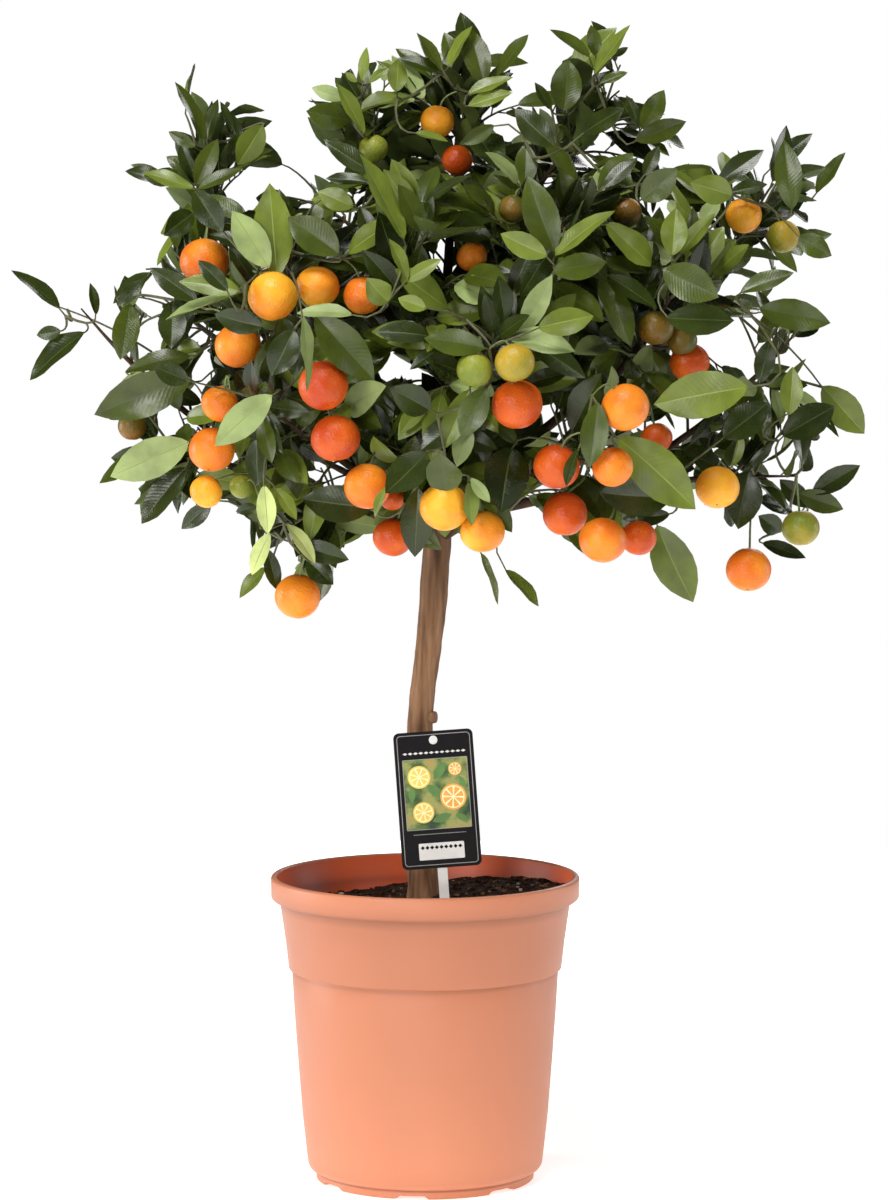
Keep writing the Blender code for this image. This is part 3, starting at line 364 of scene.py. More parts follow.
# Round patches of sky that show through and round the crown, in pixels.
SKY = (
    (288, 105, 19), (288, 150, 15), (300, 188, 10), (303, 60, 30), (356, 197, 7), (345, 216, 9),
    (531, 41, 20), (526, 77, 11), (497, 112, 8), (515, 131, 8), (655, 47, 26), (655, 77, 12),
    (701, 82, 38), (702, 137, 19), (680, 156, 7), (587, 85, 4), (560, 136, 6), (548, 173, 8),
    (465, 69, 5), (465, 162, 7), (457, 211, 5), (738, 342, 22), (718, 352, 13), (752, 342, 10),
    (855, 290, 36), (857, 345, 24), (838, 362, 8), (882, 450, 14), (825, 566, 24), (714, 541, 20),
    (697, 521, 8), (745, 538, 6), (615, 587, 38), (541, 541, 20), (524, 524, 9), (510, 549, 10),
    (558, 417, 14), (579, 399, 7), (666, 426, 9), (582, 474, 7), (505, 449, 7),
    (329, 480, 13), (315, 473, 8), (348, 476, 6), (292, 428, 7), (393, 365, 12),
    (426, 383, 10), (443, 386, 8), (445, 261, 11), (445, 244, 7), (447, 303, 6),
    (386, 513, 5), (168, 413, 7), (200, 367, 8), (161, 288, 12), (150, 338, 13), (107, 381, 15),
    (71, 281, 12), (232, 463, 6), (229, 185, 6), (250, 203, 6), (286, 178, 11), (214, 560, 34),
    (289, 553, 7), (289, 567, 6), (350, 590, 18), (378, 566, 12), (180, 560, 36), (60, 440, 50),
    (120, 240, 26), (240, 60, 30), (440, 20, 12), (350, 20, 20), (795, 100, 26), (700, 590, 30),
    (780, 600, 34), (445, 600, 20), (395, 600, 26), (650, 560, 12), (30, 320, 8), (75, 350, 8),
    (168, 80, 8), (167, 98, 9), (169, 117, 7), (188, 60, 7), (140, 147, 12), (158, 139, 8),
    (140, 198, 16), (162, 202, 11), (150, 224, 11), (153, 242, 9), (147, 254, 8), (120, 262, 11),
    (104, 280, 9), (55, 272, 9), (95, 337, 8), (106, 346, 8), (158, 312, 5), (200, 330, 9),
    (204, 367, 8), (203, 380, 8), (195, 393, 6), (165, 425, 9), (180, 416, 8), (192, 410, 6),
    (115, 498, 8), (130, 496, 8), (145, 490, 4), (226, 510, 7), (240, 525, 9), (262, 592, 7),
    (360, 545, 9), (318, 160, 14), (335, 171, 9), (304, 138, 7), (350, 176, 4), (340, 62, 7),
    (351, 50, 8), (373, 50, 9), (387, 46, 8), (381, 84, 6), (407, 30, 9), (428, 30, 8),
    (490, 22, 11), (498, 43, 6), (479, 12, 7), (515, 100, 9), (531, 97, 6), (505, 118, 6),
    (565, 50, 4), (586, 74, 4), (626, 82, 8), (614, 92, 6), (641, 99, 6), (608, 72, 4),
    (590, 156, 8), (616, 124, 6), (605, 140, 8), (676, 142, 6), (742, 138, 12), (765, 168, 10),
    (730, 150, 7), (773, 186, 5), (812, 158, 6), (826, 203, 9), (839, 216, 9), (814, 218, 6),
    (843, 236, 7), (726, 287, 6), (740, 282, 7), (770, 300, 5), (808, 280, 9), (801, 346, 11),
    (812, 366, 9), (787, 362, 5), (821, 341, 7), (835, 446, 9), (821, 462, 6), (520, 510, 10),
    (535, 516, 8), (522, 488, 6), (259, 181, 9), (266, 168, 5), (718, 236, 5), (432, 389, 7),
    (98, 300, 15), (112, 320, 9), (146, 304, 8), (140, 258, 11), (150, 320, 7), (138, 122, 14),
    (90, 355, 9), (282, 128, 9), (720, 345, 24), (752, 325, 6), (700, 372, 5), (808, 300, 7),
    (757, 265, 8), (778, 295, 8), (792, 290, 8), (840, 182, 7), (832, 226, 7), (818, 275, 9),
    (135, 368, 6), (122, 362, 5), (108, 490, 8), (150, 530, 6), (212, 84, 10), (232, 92, 8),
    (303, 124, 6), (622, 64, 6), (243, 190, 9), (302, 203, 9), (736, 535, 8), (470, 555, 8),
)

# Linear colours, leaf tones by spray and two colours to each fruit.
# The darkest leaf tones are partly the leaves' own dark green and partly painted shade inside the crown.
LEAF_TONES = {
    "deep": (0.012, 0.019, 0.002), "dark": (0.022, 0.033, 0.003), "mid": (0.048, 0.067, 0.005),
    "fresh": (0.128, 0.168, 0.020), "pale": (0.245, 0.310, 0.105), "young": (0.500, 0.580, 0.200),
}
LEAF_ROUGHNESS = {"deep": 0.24, "dark": 0.25, "mid": 0.27, "fresh": 0.30, "pale": 0.45, "young": 0.48}
TONE_NAMES = tuple(LEAF_TONES)
DARK_TONES = ("deep", "dark", "mid")
# Inner leaves take the darker tones: partly the older leaves' darker green, partly painted shade inside
# the crown.
INNER_TONES = ("deep",) * 2 + ("dark",) * 2 + ("mid",)
OUTER_TONES = ("dark",) * 3 + ("mid",) * 4 + ("fresh",) * 4 + ("pale",)
UNDERSIDE = (0.078, 0.108, 0.022)
DARK_RIB = (0.050, 0.074, 0.012)
PALE_RIB = (0.200, 0.260, 0.050)
TWIG_GREEN = (0.085, 0.085, 0.030)
STALK_GREEN = (0.13, 0.17, 0.05)
CALYX_GREEN = (0.11, 0.15, 0.04)
SCAR_BROWN = (0.16, 0.07, 0.02)
FRUIT_COLOURS = {
    "red": ((0.46, 0.045, 0.003), (0.64, 0.105, 0.005)),
    "orange": ((0.70, 0.140, 0.008), (0.84, 0.260, 0.015)),
    "amber": ((0.78, 0.240, 0.012), (0.86, 0.400, 0.022)),
    "yellow": ((0.84, 0.270, 0.014), (0.88, 0.440, 0.026)),
    "lime": ((0.17, 0.20, 0.018), (0.44, 0.28, 0.022)),
    "olive": ((0.070, 0.075, 0.007), (0.21, 0.095, 0.009)),
    "green": ((0.16, 0.20, 0.020), (0.27, 0.28, 0.030)),
}
FRUIT_NAMES = tuple(FRUIT_COLOURS)

Limb = namedtuple("Limb", "points radii")
Leaf = namedtuple("Leaf", "root along face length width arch fold wave twist turn tone")


def main():
    make_camera()
    make_world()
    make_lights()
    make_floor()
    masses = [in_metres(mass) for mass in MASSES]
    limbs = plan_limbs(masses)
    make_wood(limbs)
    crown = Crown(masses, limbs)
    crown.grow()
    crown.make()
    make_pot()
    make_soil()
    make_label()


# Places in the photograph

def at_pixel(across, down, depth):
    """The point that the photograph shows at a pixel, at a depth along Y."""
    side = (across - IMAGE_WIDTH / 2.0) / PIXELS
    drop = (down - IMAGE_HEIGHT / 2.0) / PIXELS
    ray = Vector((side, math.cos(CAMERA_TILT) - drop * math.sin(CAMERA_TILT),
                  -math.sin(CAMERA_TILT) - drop * math.cos(CAMERA_TILT)))
    return CAMERA_PLACE + ray * ((depth - CAMERA_PLACE.y) / ray.y)


def to_pixel(point):
    """Where a point shows in the photograph."""
    away = point - CAMERA_PLACE
    depth = away.y * math.cos(CAMERA_TILT) - away.z * math.sin(CAMERA_TILT)
    rise = away.y * math.sin(CAMERA_TILT) + away.z * math.cos(CAMERA_TILT)
    return IMAGE_WIDTH / 2.0 + PIXELS * away.x / depth, IMAGE_HEIGHT / 2.0 - PIXELS * rise / depth


def crown_front(across, down):
    """How far forward the crown's rounded front lies at a pixel."""
    away = at_pixel(across, down, 0.0) - CROWN_MIDDLE
    share = 1.0 - (away.x / CROWN_HALF.x) ** 2 - (away.z / CROWN_HALF.z) ** 2
    return -CROWN_HALF.y * math.sqrt(max(share, 0.0))


def mass_front(across, down):
    """How far forward the foremost mass at a pixel reaches, or the nearest one beside it."""
    spot = at_pixel(across, down, 0.0) / MM
    fronts = []
    nearest = (math.inf, 0.0)
    for mass in MASSES:
        wide = (spot.x - mass.centre[0]) / (mass.half[0] * MASS_SPREAD)
        high = (spot.z - mass.centre[2]) / (mass.half[2] * MASS_SPREAD)
        share = 1.0 - wide ** 2 - high ** 2
        nearest = min(nearest, (-share, mass.centre[1]))
        if share > 0.0:
            fronts.append(mass.centre[1] - mass.half[1] * MASS_REACH * math.sqrt(share))
    return (min(fronts) if fronts else nearest[1]) * MM


def leaf_depth(across, down, back):
    """Depth of a leaf of the list: near the crown's front, and never far before its mass."""
    outer = crown_front(across, down) + back * MM
    return max(outer, mass_front(across, down) + min(back, BACK_LIMIT) * MM)


# Camera, lights and floor

FLOOR_RADIUS = 1.7
FLOOR_CORNERS = 120
FLOOR_NEAR = 0.30
FLOOR_FAR = 1.15
FLOOR_GLOW = 0.60
SKY_GLOW = 1.0
SKY_LIGHT = 0.085

# Name, place, target, width and height in metres, and power in watts.
LIGHTS = (
    ("key", (-1.9, -2.9, 1.5), (0.0, 0.0, 0.45), (0.9, 1.2), 60.0),
    ("fill", (2.2, -2.2, 1.6), (0.0, 0.0, 0.5), (0.8, 1.0), 13.0),
    ("top", (-0.3, -1.0, 2.7), (0.0, 0.0, 0.6), (1.0, 0.8), 50.0),
    ("low", (-0.4, -1.9, 0.15), (0.0, 0.0, 0.0), (0.6, 0.2), 6.5),
    ("left_edge", (-2.4, 0.4, 0.5), (0.0, 0.0, 0.1), (0.8, 1.0), 32.0),
    ("right_edge", (2.4, 0.7, 0.5), (0.0, 0.0, 0.1), (0.8, 1.0), 16.0),
    ("back", (0.9, 2.5, 1.7), (0.0, 0.0, 0.5), (1.6, 1.2), 26.0),
)


def make_camera():
    camera = bpy.data.cameras.new("camera")
    camera.lens = FOCAL_LENGTH
    camera.sensor_width = SENSOR
    item = bpy.data.objects.new("camera", camera)
    item.location = CAMERA_PLACE
    item.rotation_euler = (math.pi / 2.0 - CAMERA_TILT, 0.0, 0.0)
    bpy.context.collection.objects.link(item)
    bpy.context.scene.camera = item


def make_lights():
    """Large soft boxes round the tree."""
    for name, place, target, size, power in LIGHTS:
        light = bpy.data.lights.new(name, "AREA")
        light.shape = "RECTANGLE"
        light.size, light.size_y = size
        light.energy = power
        item = bpy.data.objects.new(name, light)
        item.location = place
        item.rotation_euler = (Vector(target) - Vector(place)).to_track_quat("-Z", "Y").to_euler()
        bpy.context.collection.objects.link(item)


def make_world():
    """A white surround that lights the tree less than it shows."""
    world = bpy.data.worlds.new("studio")
    world.use_nodes = True
    bpy.context.scene.world = world
    nodes, links = world.node_tree.nodes, world.node_tree.links
    nodes.clear()
    path = nodes.new("ShaderNodeLightPath")
    mix = nodes.new("ShaderNodeMixShader")
    out = nodes.new("ShaderNodeOutputWorld")
    for socket, strength in ((1, SKY_LIGHT), (2, SKY_GLOW)):
        shade = nodes.new("ShaderNodeBackground")
        shade.inputs["Color"].default_value = (1.0, 1.0, 1.0, 1.0)
        shade.inputs["Strength"].default_value = strength
        links.new(shade.outputs[0], mix.inputs[socket])
    links.new(path.outputs["Is Camera Ray"], mix.inputs["Fac"])
    links.new(mix.outputs[0], out.inputs["Surface"])
    bpy.context.scene.view_settings.view_transform = "Standard"


def make_floor():
    """A pale round floor that grows brighter outward, so that its edge can't be seen."""
    corners = circle(FLOOR_RADIUS, 0.0, FLOOR_CORNERS)
    mesh = bpy.data.meshes.new("floor")
    mesh.from_pydata([(0.0, 0.0, 0.0), *corners], [], fan(0, 1, FLOOR_CORNERS))
    look = Look("floor", (0.90, 0.90, 0.90), 0.8, Specular_IOR_Level=0.1)
    look.shader.inputs["Emission Color"].default_value = (1.0, 1.0, 1.0, 1.0)
    look.mottle(3.0, 0.01)
    length = look.nodes.new("ShaderNodeVectorMath")
    length.operation = "LENGTH"
    look.links.new(look.place(), length.inputs["Vector"])
    share = look.share_between(length.outputs["Value"], FLOOR_NEAR, FLOOR_FAR)
    glow = look.number("ADD", look.number("MULTIPLY", share, 1.0 - FLOOR_GLOW), FLOOR_GLOW)
    look.links.new(glow, look.shader.inputs["Emission Strength"])
    add_piece("floor", mesh, [look.material])


# Materials

class Look:
    """A procedural material round one Principled shader."""

    def __init__(self, name, colour, roughness, **sockets):
        self.material = bpy.data.materials.new(name)
        self.material.use_nodes = True
        self.nodes = self.material.node_tree.nodes
        self.links = self.material.node_tree.links
        self.shader = self.nodes["Principled BSDF"]
        self.colour = colour
        self.roughness = roughness
        self.shader.inputs["Base Color"].default_value = (*colour, 1.0)
        self.shader.inputs["Roughness"].default_value = roughness
        for socket, value in sockets.items():
            self.shader.inputs[socket.replace("_", " ")].default_value = value

    def place(self, stretch=(1.0, 1.0, 1.0)):
        """Object coordinates, stretched along each axis."""
        where = self.nodes.new("ShaderNodeTexCoord")
        mapping = self.nodes.new("ShaderNodeMapping")
        mapping.inputs["Scale"].default_value = stretch
        self.links.new(where.outputs["Object"], mapping.inputs["Vector"])
        return mapping.outputs["Vector"]

    def cloud(self, scale, detail=3.0, stretch=(1.0, 1.0, 1.0)):
        texture = self.nodes.new("ShaderNodeTexNoise")
        texture.inputs["Scale"].default_value = scale
        texture.inputs["Detail"].default_value = detail
        self.links.new(self.place(stretch), texture.inputs["Vector"])
        return texture.outputs["Fac"]

    def cells(self, scale):
        texture = self.nodes.new("ShaderNodeTexVoronoi")
        texture.inputs["Scale"].default_value = scale
        self.links.new(self.place(), texture.inputs["Vector"])
        return texture.outputs["Distance"]

    def ramp(self, factor, stops):
        """A colour ramp from a factor: stops are (place, colour)."""
        node = self.nodes.new("ShaderNodeValToRGB")
        elements = node.color_ramp.elements
        while len(elements) < len(stops):
            elements.new(0.5)
        for element, (place, colour) in zip(elements, stops):
            element.position = place
            element.color = (*colour, 1.0)
        self.links.new(factor, node.inputs["Fac"])
        return node.outputs["Color"]

    def mottle(self, scale, spread, stretch=(1.0, 1.0, 1.0)):
        """Let the colour vary a little from place to place."""
        factor = self.cloud(scale, 4.0, stretch)
        dark = tuple(part * (1.0 - spread) for part in self.colour)
        light = tuple(min(part * (1.0 + spread), 1.0) for part in self.colour)
        self.paint(self.ramp(factor, ((0.32, dark), (0.68, light))))

    def height_share(self, low, high):
        """How far up a point lies between two heights, from 0 to 1."""
        split = self.nodes.new("ShaderNodeSeparateXYZ")
        self.links.new(self.place(), split.inputs["Vector"])
        return self.share_between(split.outputs["Z"], low, high)

    def share_between(self, value, low, high):
        node = self.nodes.new("ShaderNodeMapRange")
        node.inputs["From Min"].default_value = low
        node.inputs["From Max"].default_value = high
        self.links.new(value, node.inputs["Value"])
        return node.outputs["Result"]

    def fade(self, colour, lower, upper):
        """The colour times a lightness that changes between two heights."""
        share = self.height_share(lower[0], upper[0])
        light = self.number("ADD", self.number("MULTIPLY", share, upper[1] - lower[1]), lower[1])
        return self.scale(colour, light)

    def scale(self, colour, light):
        node = self.nodes.new("ShaderNodeVectorMath")
        node.operation = "SCALE"
        self.links.new(colour, node.inputs["Vector"])
        self.links.new(light, node.inputs["Scale"])
        return node.outputs["Vector"]

    def paint(self, colour):
        self.links.new(colour, self.shader.inputs["Base Color"])

    def polish(self, factor, low, high):
        """Let the roughness vary between two values."""
        node = self.nodes.new("ShaderNodeMapRange")
        node.inputs["To Min"].default_value = low
        node.inputs["To Max"].default_value = high
        self.links.new(factor, node.inputs["Value"])
        self.links.new(node.outputs["Result"], self.shader.inputs["Roughness"])

    def bump(self, height, distance, strength=1.0):
        """Fine relief, one over another when called again."""
        node = self.nodes.new("ShaderNodeBump")
        node.inputs["Distance"].default_value = distance
        node.inputs["Strength"].default_value = strength
        self.links.new(height, node.inputs["Height"])
        before = self.shader.inputs["Normal"].links
        if before:
            self.links.new(before[0].from_socket, node.inputs["Normal"])
        self.links.new(node.outputs["Normal"], self.shader.inputs["Normal"])

    def number(self, operation, first, second=None):
        node = self.nodes.new("ShaderNodeMath")
        node.operation = operation
        for socket, value in zip(node.inputs, (first, second)):
            if value is None:
                continue
            if isinstance(value, (int, float)):
                socket.default_value = value
            else:
                self.links.new(value, socket)
        return node.outputs["Value"]


VEINS = 9.0
VEIN_SLANT = 3.0
BARK_STOPS = ((0.26, (0.070, 0.032, 0.015)), (0.44, (0.185, 0.090, 0.042)),
              (0.62, (0.285, 0.150, 0.075)), (0.80, (0.42, 0.27, 0.16)))
# Painted shade: the bark darkens to half its lightness between these heights in metres, under the crown.
BARK_PAINTED_SHADE = ((0.38, 1.0), (0.50, 0.5))
# Painted shade: boughs and stems take the bark at this share of its lightness, for the shade inside the
# crown.
BOUGH_PAINTED_SHADE = 0.42


def leaf_look(name, colour, roughness):
    """Leaf skin: side veins that run out from the rib, and a fine leathery grain."""
    look = Look(name, colour, roughness, Specular_IOR_Level=0.38)
    look.mottle(55.0, 0.22)
    where = look.nodes.new("ShaderNodeUVMap")
    where.uv_map = "leaf"
    split = look.nodes.new("ShaderNodeSeparateXYZ")
    look.links.new(where.outputs["UV"], split.inputs["Vector"])
    out = look.number("ABSOLUTE", look.number("SUBTRACT", split.outputs["X"], 0.5))
    slant = look.number("SUBTRACT", look.number("MULTIPLY", split.outputs["Y"], VEINS),
                        look.number("MULTIPLY", out, VEIN_SLANT))
    wave = look.number("SINE", look.number("MULTIPLY", slant, 2.0 * math.pi))
    vein = look.number("POWER", look.number("ABSOLUTE", wave), 3.0)
    look.bump(vein, 0.2 * MM, 0.16)
    look.bump(look.cloud(260.0, 3.0), 0.4 * MM, 0.3)
    look.polish(look.cloud(90.0, 2.0), roughness - 0.06, roughness + 0.10)
    return look.material


def fruit_look(name, colours):
    """Citrus skin: oil glands as fine dimples, and a colour that shifts round the fruit."""
    look = Look("fruit_" + name, colours[0], 0.36, Specular_IOR_Level=0.34)
    look.paint(look.ramp(look.cloud(38.0, 3.0), ((0.36, colours[0]), (0.64, colours[1]))))
    look.bump(look.cells(620.0), 0.4 * MM, 0.55)
    look.bump(look.cloud(140.0, 2.0), 0.8 * MM, 0.35)
    look.polish(look.cloud(70.0, 2.0), 0.32, 0.48)
    return look.material


def bark_look(name, light):
    """Brown bark with pale streaks along the stem and painted shade towards its top under the crown, at
    a share of its full lightness, which is less for painted shade on boughs and stems.
    """
    look = Look(name, (0.30, 0.17, 0.09), 0.82, Specular_IOR_Level=0.3)
    streaks = look.cloud(210.0, 6.0, (1.0, 1.0, 0.10))
    stops = [(place, tuple(part * light for part in colour)) for place, colour in BARK_STOPS]
    # Painted shade: darker up the trunk, where the crown hangs over it.
    look.paint(look.fade(look.ramp(streaks, stops), *BARK_PAINTED_SHADE))
    look.bump(streaks, 1.2 * MM, 0.6)
    look.bump(look.cloud(900.0, 4.0, (1.0, 1.0, 0.4)), 0.5 * MM, 0.4)
    return look.material


def twig_look(name, colour):
    look = Look(name, colour, 0.6)
    look.mottle(260.0, 0.30, (1.0, 1.0, 0.3))
    look.bump(look.cloud(1200.0, 2.0), 0.2 * MM, 0.4)
    return look.material


# Painted light and shade on the pot by height in millimetres: painted shade at the seam, the ledge and
# under the lip, and a painted gradient, brighter at the foot and darker near the top.
POT_PAINTED_LIGHT_AND_SHADE = ((0.0, 1.08), (4.6, 1.06), (5.8, 0.55), (6.6, 0.70), (7.6, 1.02), (22.0, 1.08),
              (90.0, 0.95), (150.0, 0.90), (152.5, 0.74), (154.5, 0.86), (197.0, 0.83),
              (203.5, 0.56), (208.0, 0.84), (214.0, 0.93), (222.0, 0.98))


def pot_look(name, colour):
    """Terracotta-coloured plastic with faint flow marks, a fine grain and painted light and shade by
    height.
    """
    look = Look(name, colour, 0.46, Specular_IOR_Level=0.42)
    factor = look.cloud(9.0, 4.0, (1.0, 1.0, 0.35))
    dark, light = (tuple(part * level for part in colour) for level in (0.965, 1.035))
    marks = look.ramp(factor, ((0.32, dark), (0.68, light)))
    # Painted light and shade: the colour is scaled by a lightness ramp over the pot's height.
    levels = [(height / POT_PAINTED_LIGHT_AND_SHADE[-1][0], (level, level, level)) for height, level in POT_PAINTED_LIGHT_AND_SHADE]
    shade = look.ramp(look.height_share(0.0, POT_PAINTED_LIGHT_AND_SHADE[-1][0] * MM), levels)
    look.paint(look.scale(marks, shade))
    look.polish(look.cloud(30.0, 3.0), 0.40, 0.54)
    look.bump(look.cloud(1500.0, 2.0), 0.08 * MM, 0.35)
    return look.material


def soil_look():
    look = Look("potting_soil", (0.045, 0.024, 0.014), 0.95, Specular_IOR_Level=0.1)
    stops = ((0.30, (0.010, 0.006, 0.004)), (0.52, (0.038, 0.018, 0.010)), (0.74, (0.100, 0.045, 0.022)))
    look.paint(look.ramp(look.cloud(240.0, 6.0), stops))
    look.bump(look.cloud(420.0, 6.0), 1.5 * MM, 0.9)
    return look.material


def plain_look(name, colour, roughness, grain=900.0, spread=0.06, **sockets):
    look = Look(name, colour, roughness, **sockets)
    look.mottle(60.0, spread)
    look.bump(look.cloud(grain, 2.0), 0.08 * MM, 0.3)
    return look.material


# Meshes

def add_piece(name, mesh, materials):
    for material in materials:
        mesh.materials.append(material)
    item = bpy.data.objects.new(name, mesh)
    bpy.context.collection.objects.link(item)
    return item


class Shapes:
    """Many small shapes that are joined into one mesh."""

    def __init__(self):
        self.verts = []
        self.faces = []
        self.looks = []
        self.spots = []

    def add(self, verts, faces, look=0, spots=None):
        """Add one shape; look is a material number or one for each face."""
        first = len(self.verts)
        self.verts.extend(verts)
        self.faces.extend(tuple(first + corner for corner in face) for face in faces)
        self.looks.extend(look if isinstance(look, (list, tuple)) else [look] * len(faces))
        if spots:
            self.spots.extend(spots)

    def piece(self, name, materials, sharp=40.0, replaced=()):
        """The joined mesh as a piece that stands with the pot."""
        mesh = bpy.data.meshes.new(name)
        mesh.from_pydata(self.verts, [], self.faces)
        mesh.polygons.foreach_set("material_index", self.looks)
        if self.spots:
            layer = mesh.uv_layers.new(name="leaf")
            corners = np.empty(len(mesh.loops), dtype=np.int32)
            mesh.loops.foreach_get("vertex_index", corners)
            layer.data.foreach_set("uv", np.array(self.spots, dtype=np.float32)[corners].ravel())
        mesh.shade_smooth()
        mesh.set_sharp_from_angle(angle=math.radians(sharp))
        item = add_piece(name, mesh, materials)
        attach(item, "root")
        if replaced:
            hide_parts(*replaced)
        return item


def circle(radius, height, sides):
    """Corners of a level circle round Z."""
    turns = (2.0 * math.pi * side / sides for side in range(sides))
    return [(radius * math.cos(turn), radius * math.sin(turn), height) for turn in turns]


def fan(middle, first, sides):
    """Triangles from a middle corner to the ring of corners that begins at first."""
    return [(middle, first + side, first + (side + 1) % sides) for side in range(sides)]


def band(low, high, sides):
    """Faces between two rings of corners, which begin at low and at high."""
    faces = []
    for side in range(sides):
        after = (side + 1) % sides
        faces.append((low + side, low + after, high + after, high + side))
    return faces


def flipped(faces):
    """The same faces, seen from their other side."""
    return [(face[0], *reversed(face[1:])) for face in faces]


def tube(points, radii, sides, relief=None):
    """Corners and faces of a closed tube along points; relief(point) adds to its radius."""
    verts = []
    count = len(points)
    across = None
    for index, (point, radius) in enumerate(zip(points, radii)):
        along = (points[min(index + 1, count - 1)] - points[max(index - 1, 0)]).normalized()
        across = across or along.orthogonal()
        across = (across - along * across.dot(along)).normalized()
        other = along.cross(across)
        for side in range(sides):
            angle = 2.0 * math.pi * side / sides
            out = across * math.cos(angle) + other * math.sin(angle)
            reach = radius + (relief(point + out * radius) if relief else 0.0)
            verts.append(point + out * reach)
    faces = [tuple(range(sides - 1, -1, -1)), tuple(range((count - 1) * sides, count * sides))]
    for ring in range(count - 1):
        faces += band(ring * sides, (ring + 1) * sides, sides)
    return verts, faces


def lathe(outline, sides, lift=None):
    """Corners and faces turned round Z from an outline that starts and ends on the axis."""
    rings = outline[1:-1]
    verts = [Vector((0.0, 0.0, outline[0][1]))]
    for ring, (radius, height) in enumerate(rings):
        for side, (x, y, z) in enumerate(circle(radius, height, sides)):
            raised = lift(ring, 2.0 * math.pi * side / sides) if lift else 0.0
            verts.append(Vector((x, y, z + raised)))
    verts.append(Vector((0.0, 0.0, outline[-1][1])))
    last = len(verts) - 1
    faces = flipped(fan(0, 1, sides)) + fan(last, last - sides, sides)
    for ring in range(len(rings) - 1):
        faces += band(1 + ring * sides, 1 + (ring + 1) * sides, sides)
    return verts, faces


# The rule that the limbs grow by, as in the model

def in_metres(mass):
    return mass._replace(
        centre=Vector(mass.centre) * MM,
        half=Vector(mass.half) * MM,
        tips=[Vector(tip) * MM for tip in mass.tips],
    )


def curve_point(start, control, end, share):
    rest = 1.0 - share
    return start * rest * rest + control * 2.0 * share * rest + end * share * share


def curve_points(start, control, end, count):
    return [curve_point(start, control, end, index / (count - 1)) for index in range(count)]


def taper(first, last, count):
    return [first + (last - first) * index / (count - 1) for index in range(count)]


def depth_in(mass, point):
    """How far out a point is in a mass: 0 at its middle, 1 at its border."""
    away = point - mass.centre
    return Vector([away[axis] / mass.half[axis] for axis in range(3)]).length


def limb_place(limb, share):
    """Point on a limb at a share of its points, its direction and the radius there."""
    step = share * (len(limb.points) - 1)
    index = min(int(step), len(limb.points) - 2)
    low, high = limb.points[index], limb.points[index + 1]
    part = step - index
    radius = limb.radii[index] + (limb.radii[index + 1] - limb.radii[index]) * part
    return low.lerp(high, part), (high - low).normalized(), radius


def trunk_place(height, trunk):
    """Point on the trunk's middle line at a height, its direction and the radius there."""
    pairs = list(zip(trunk.points, trunk.points[1:]))
    for index, (low, high) in enumerate(pairs):
        if low.z <= height <= high.z:
            break
    share = (height - low.z) / (high.z - low.z)
    radius = trunk.radii[index] + (trunk.radii[index + 1] - trunk.radii[index]) * share
    return low.lerp(high, share), UP, radius


def plan_limbs(masses):
    """Centre lines and radii of the trunk and of the bough to each mass."""
    rows = {mass.name: mass for mass in masses}
    points = [Vector((across, 0.0, height)) * MM for height, across, radius in TRUNK_STATIONS]
    radii = [radius * MM for height, across, radius in TRUNK_STATIONS]
    limbs = {"trunk": Limb(points, radii)}

    def plan(name):
        if name not in limbs:
            limbs[name] = plan_bough(rows[name], plan(rows[name].parent))
        return limbs[name]

    for name in rows:
        plan(name)
    return limbs


def plan_bough(mass, parent):
    """The bough's line, from inside its parent limb to where it enters its mass."""
    if mass.parent == "trunk":
        start, along, radius = trunk_place(mass.fork * MM, parent)
        leads = mass.fork >= LEADER_FORK
        thickness = LEADER_RADIUS if leads else BOUGH_RADIUS
        if not leads:
            flat = mass.centre - start
            flat.z = 0.0
            along = (flat.normalized() + UP * FORK_LEAN).normalized()
    else:
        start, along, radius = limb_place(parent, mass.fork)
        thickness = radius * FORK_TAPER
    reach = mass.centre - start
    control = start + along * reach.length * FORK_RISE + reach * FORK_REACH
    share = 1.0
    while depth_in(mass, curve_point(start, control, mass.centre, share)) < BOUGH_ENTRY:
        share -= ENTRY_STEP
    points = [curve_point(start, control, mass.centre, share * index / (BOUGH_POINTS - 1))
              for index in range(BOUGH_POINTS)]
    return Limb(points, taper(thickness, BOUGH_TIP_RADIUS, BOUGH_POINTS))


def grow_stem(mass, limb):
    """The stem that carries on from the bough's tip to just past the mass's middle."""
    along = (limb.points[-1] - limb.points[-2]).normalized()
    start = limb.points[-1]
    reach = mass.centre - start
    end = mass.centre + reach * STEM_OVERSHOOT
    points = curve_points(start, start + along * reach.length / 2.0, end, STEM_POINTS)
    return Limb(points, taper(BOUGH_TIP_RADIUS, STEM_TIP_RADIUS, STEM_POINTS))


# Trunk and boughs

WOOD_SIDES = 44
WOOD_STEP = 1.6 * MM
STUB_SIDES = 18
BOUGH_SIDES = 14
BOUGH_RINGS = 22
STEM_SIDES = 8
STEM_RINGS = 10
TRUNK_RELIEF = 0.9 * MM
STUB_RELIEF = 0.5 * MM
BOUGH_RELIEF = 0.35 * MM
STEM_RELIEF = 0.2 * MM


def finer(limb, count):
    """The same limb with a smooth line through its points."""
    points, radii = [], []
    last = len(limb.points) - 1
    for step in range(count):
        at = step * last / (count - 1)
        index = min(int(at), last - 1)
        share = at - index
        corners = [limb.points[min(max(index + offset, 0), last)] for offset in (-1, 0, 1, 2)]
        widths = [limb.radii[min(max(index + offset, 0), last)] for offset in (-1, 0, 1, 2)]
        points.append(smooth_between(corners, share))
        radii.append(smooth_between(widths, share))
    return Limb(points, radii)


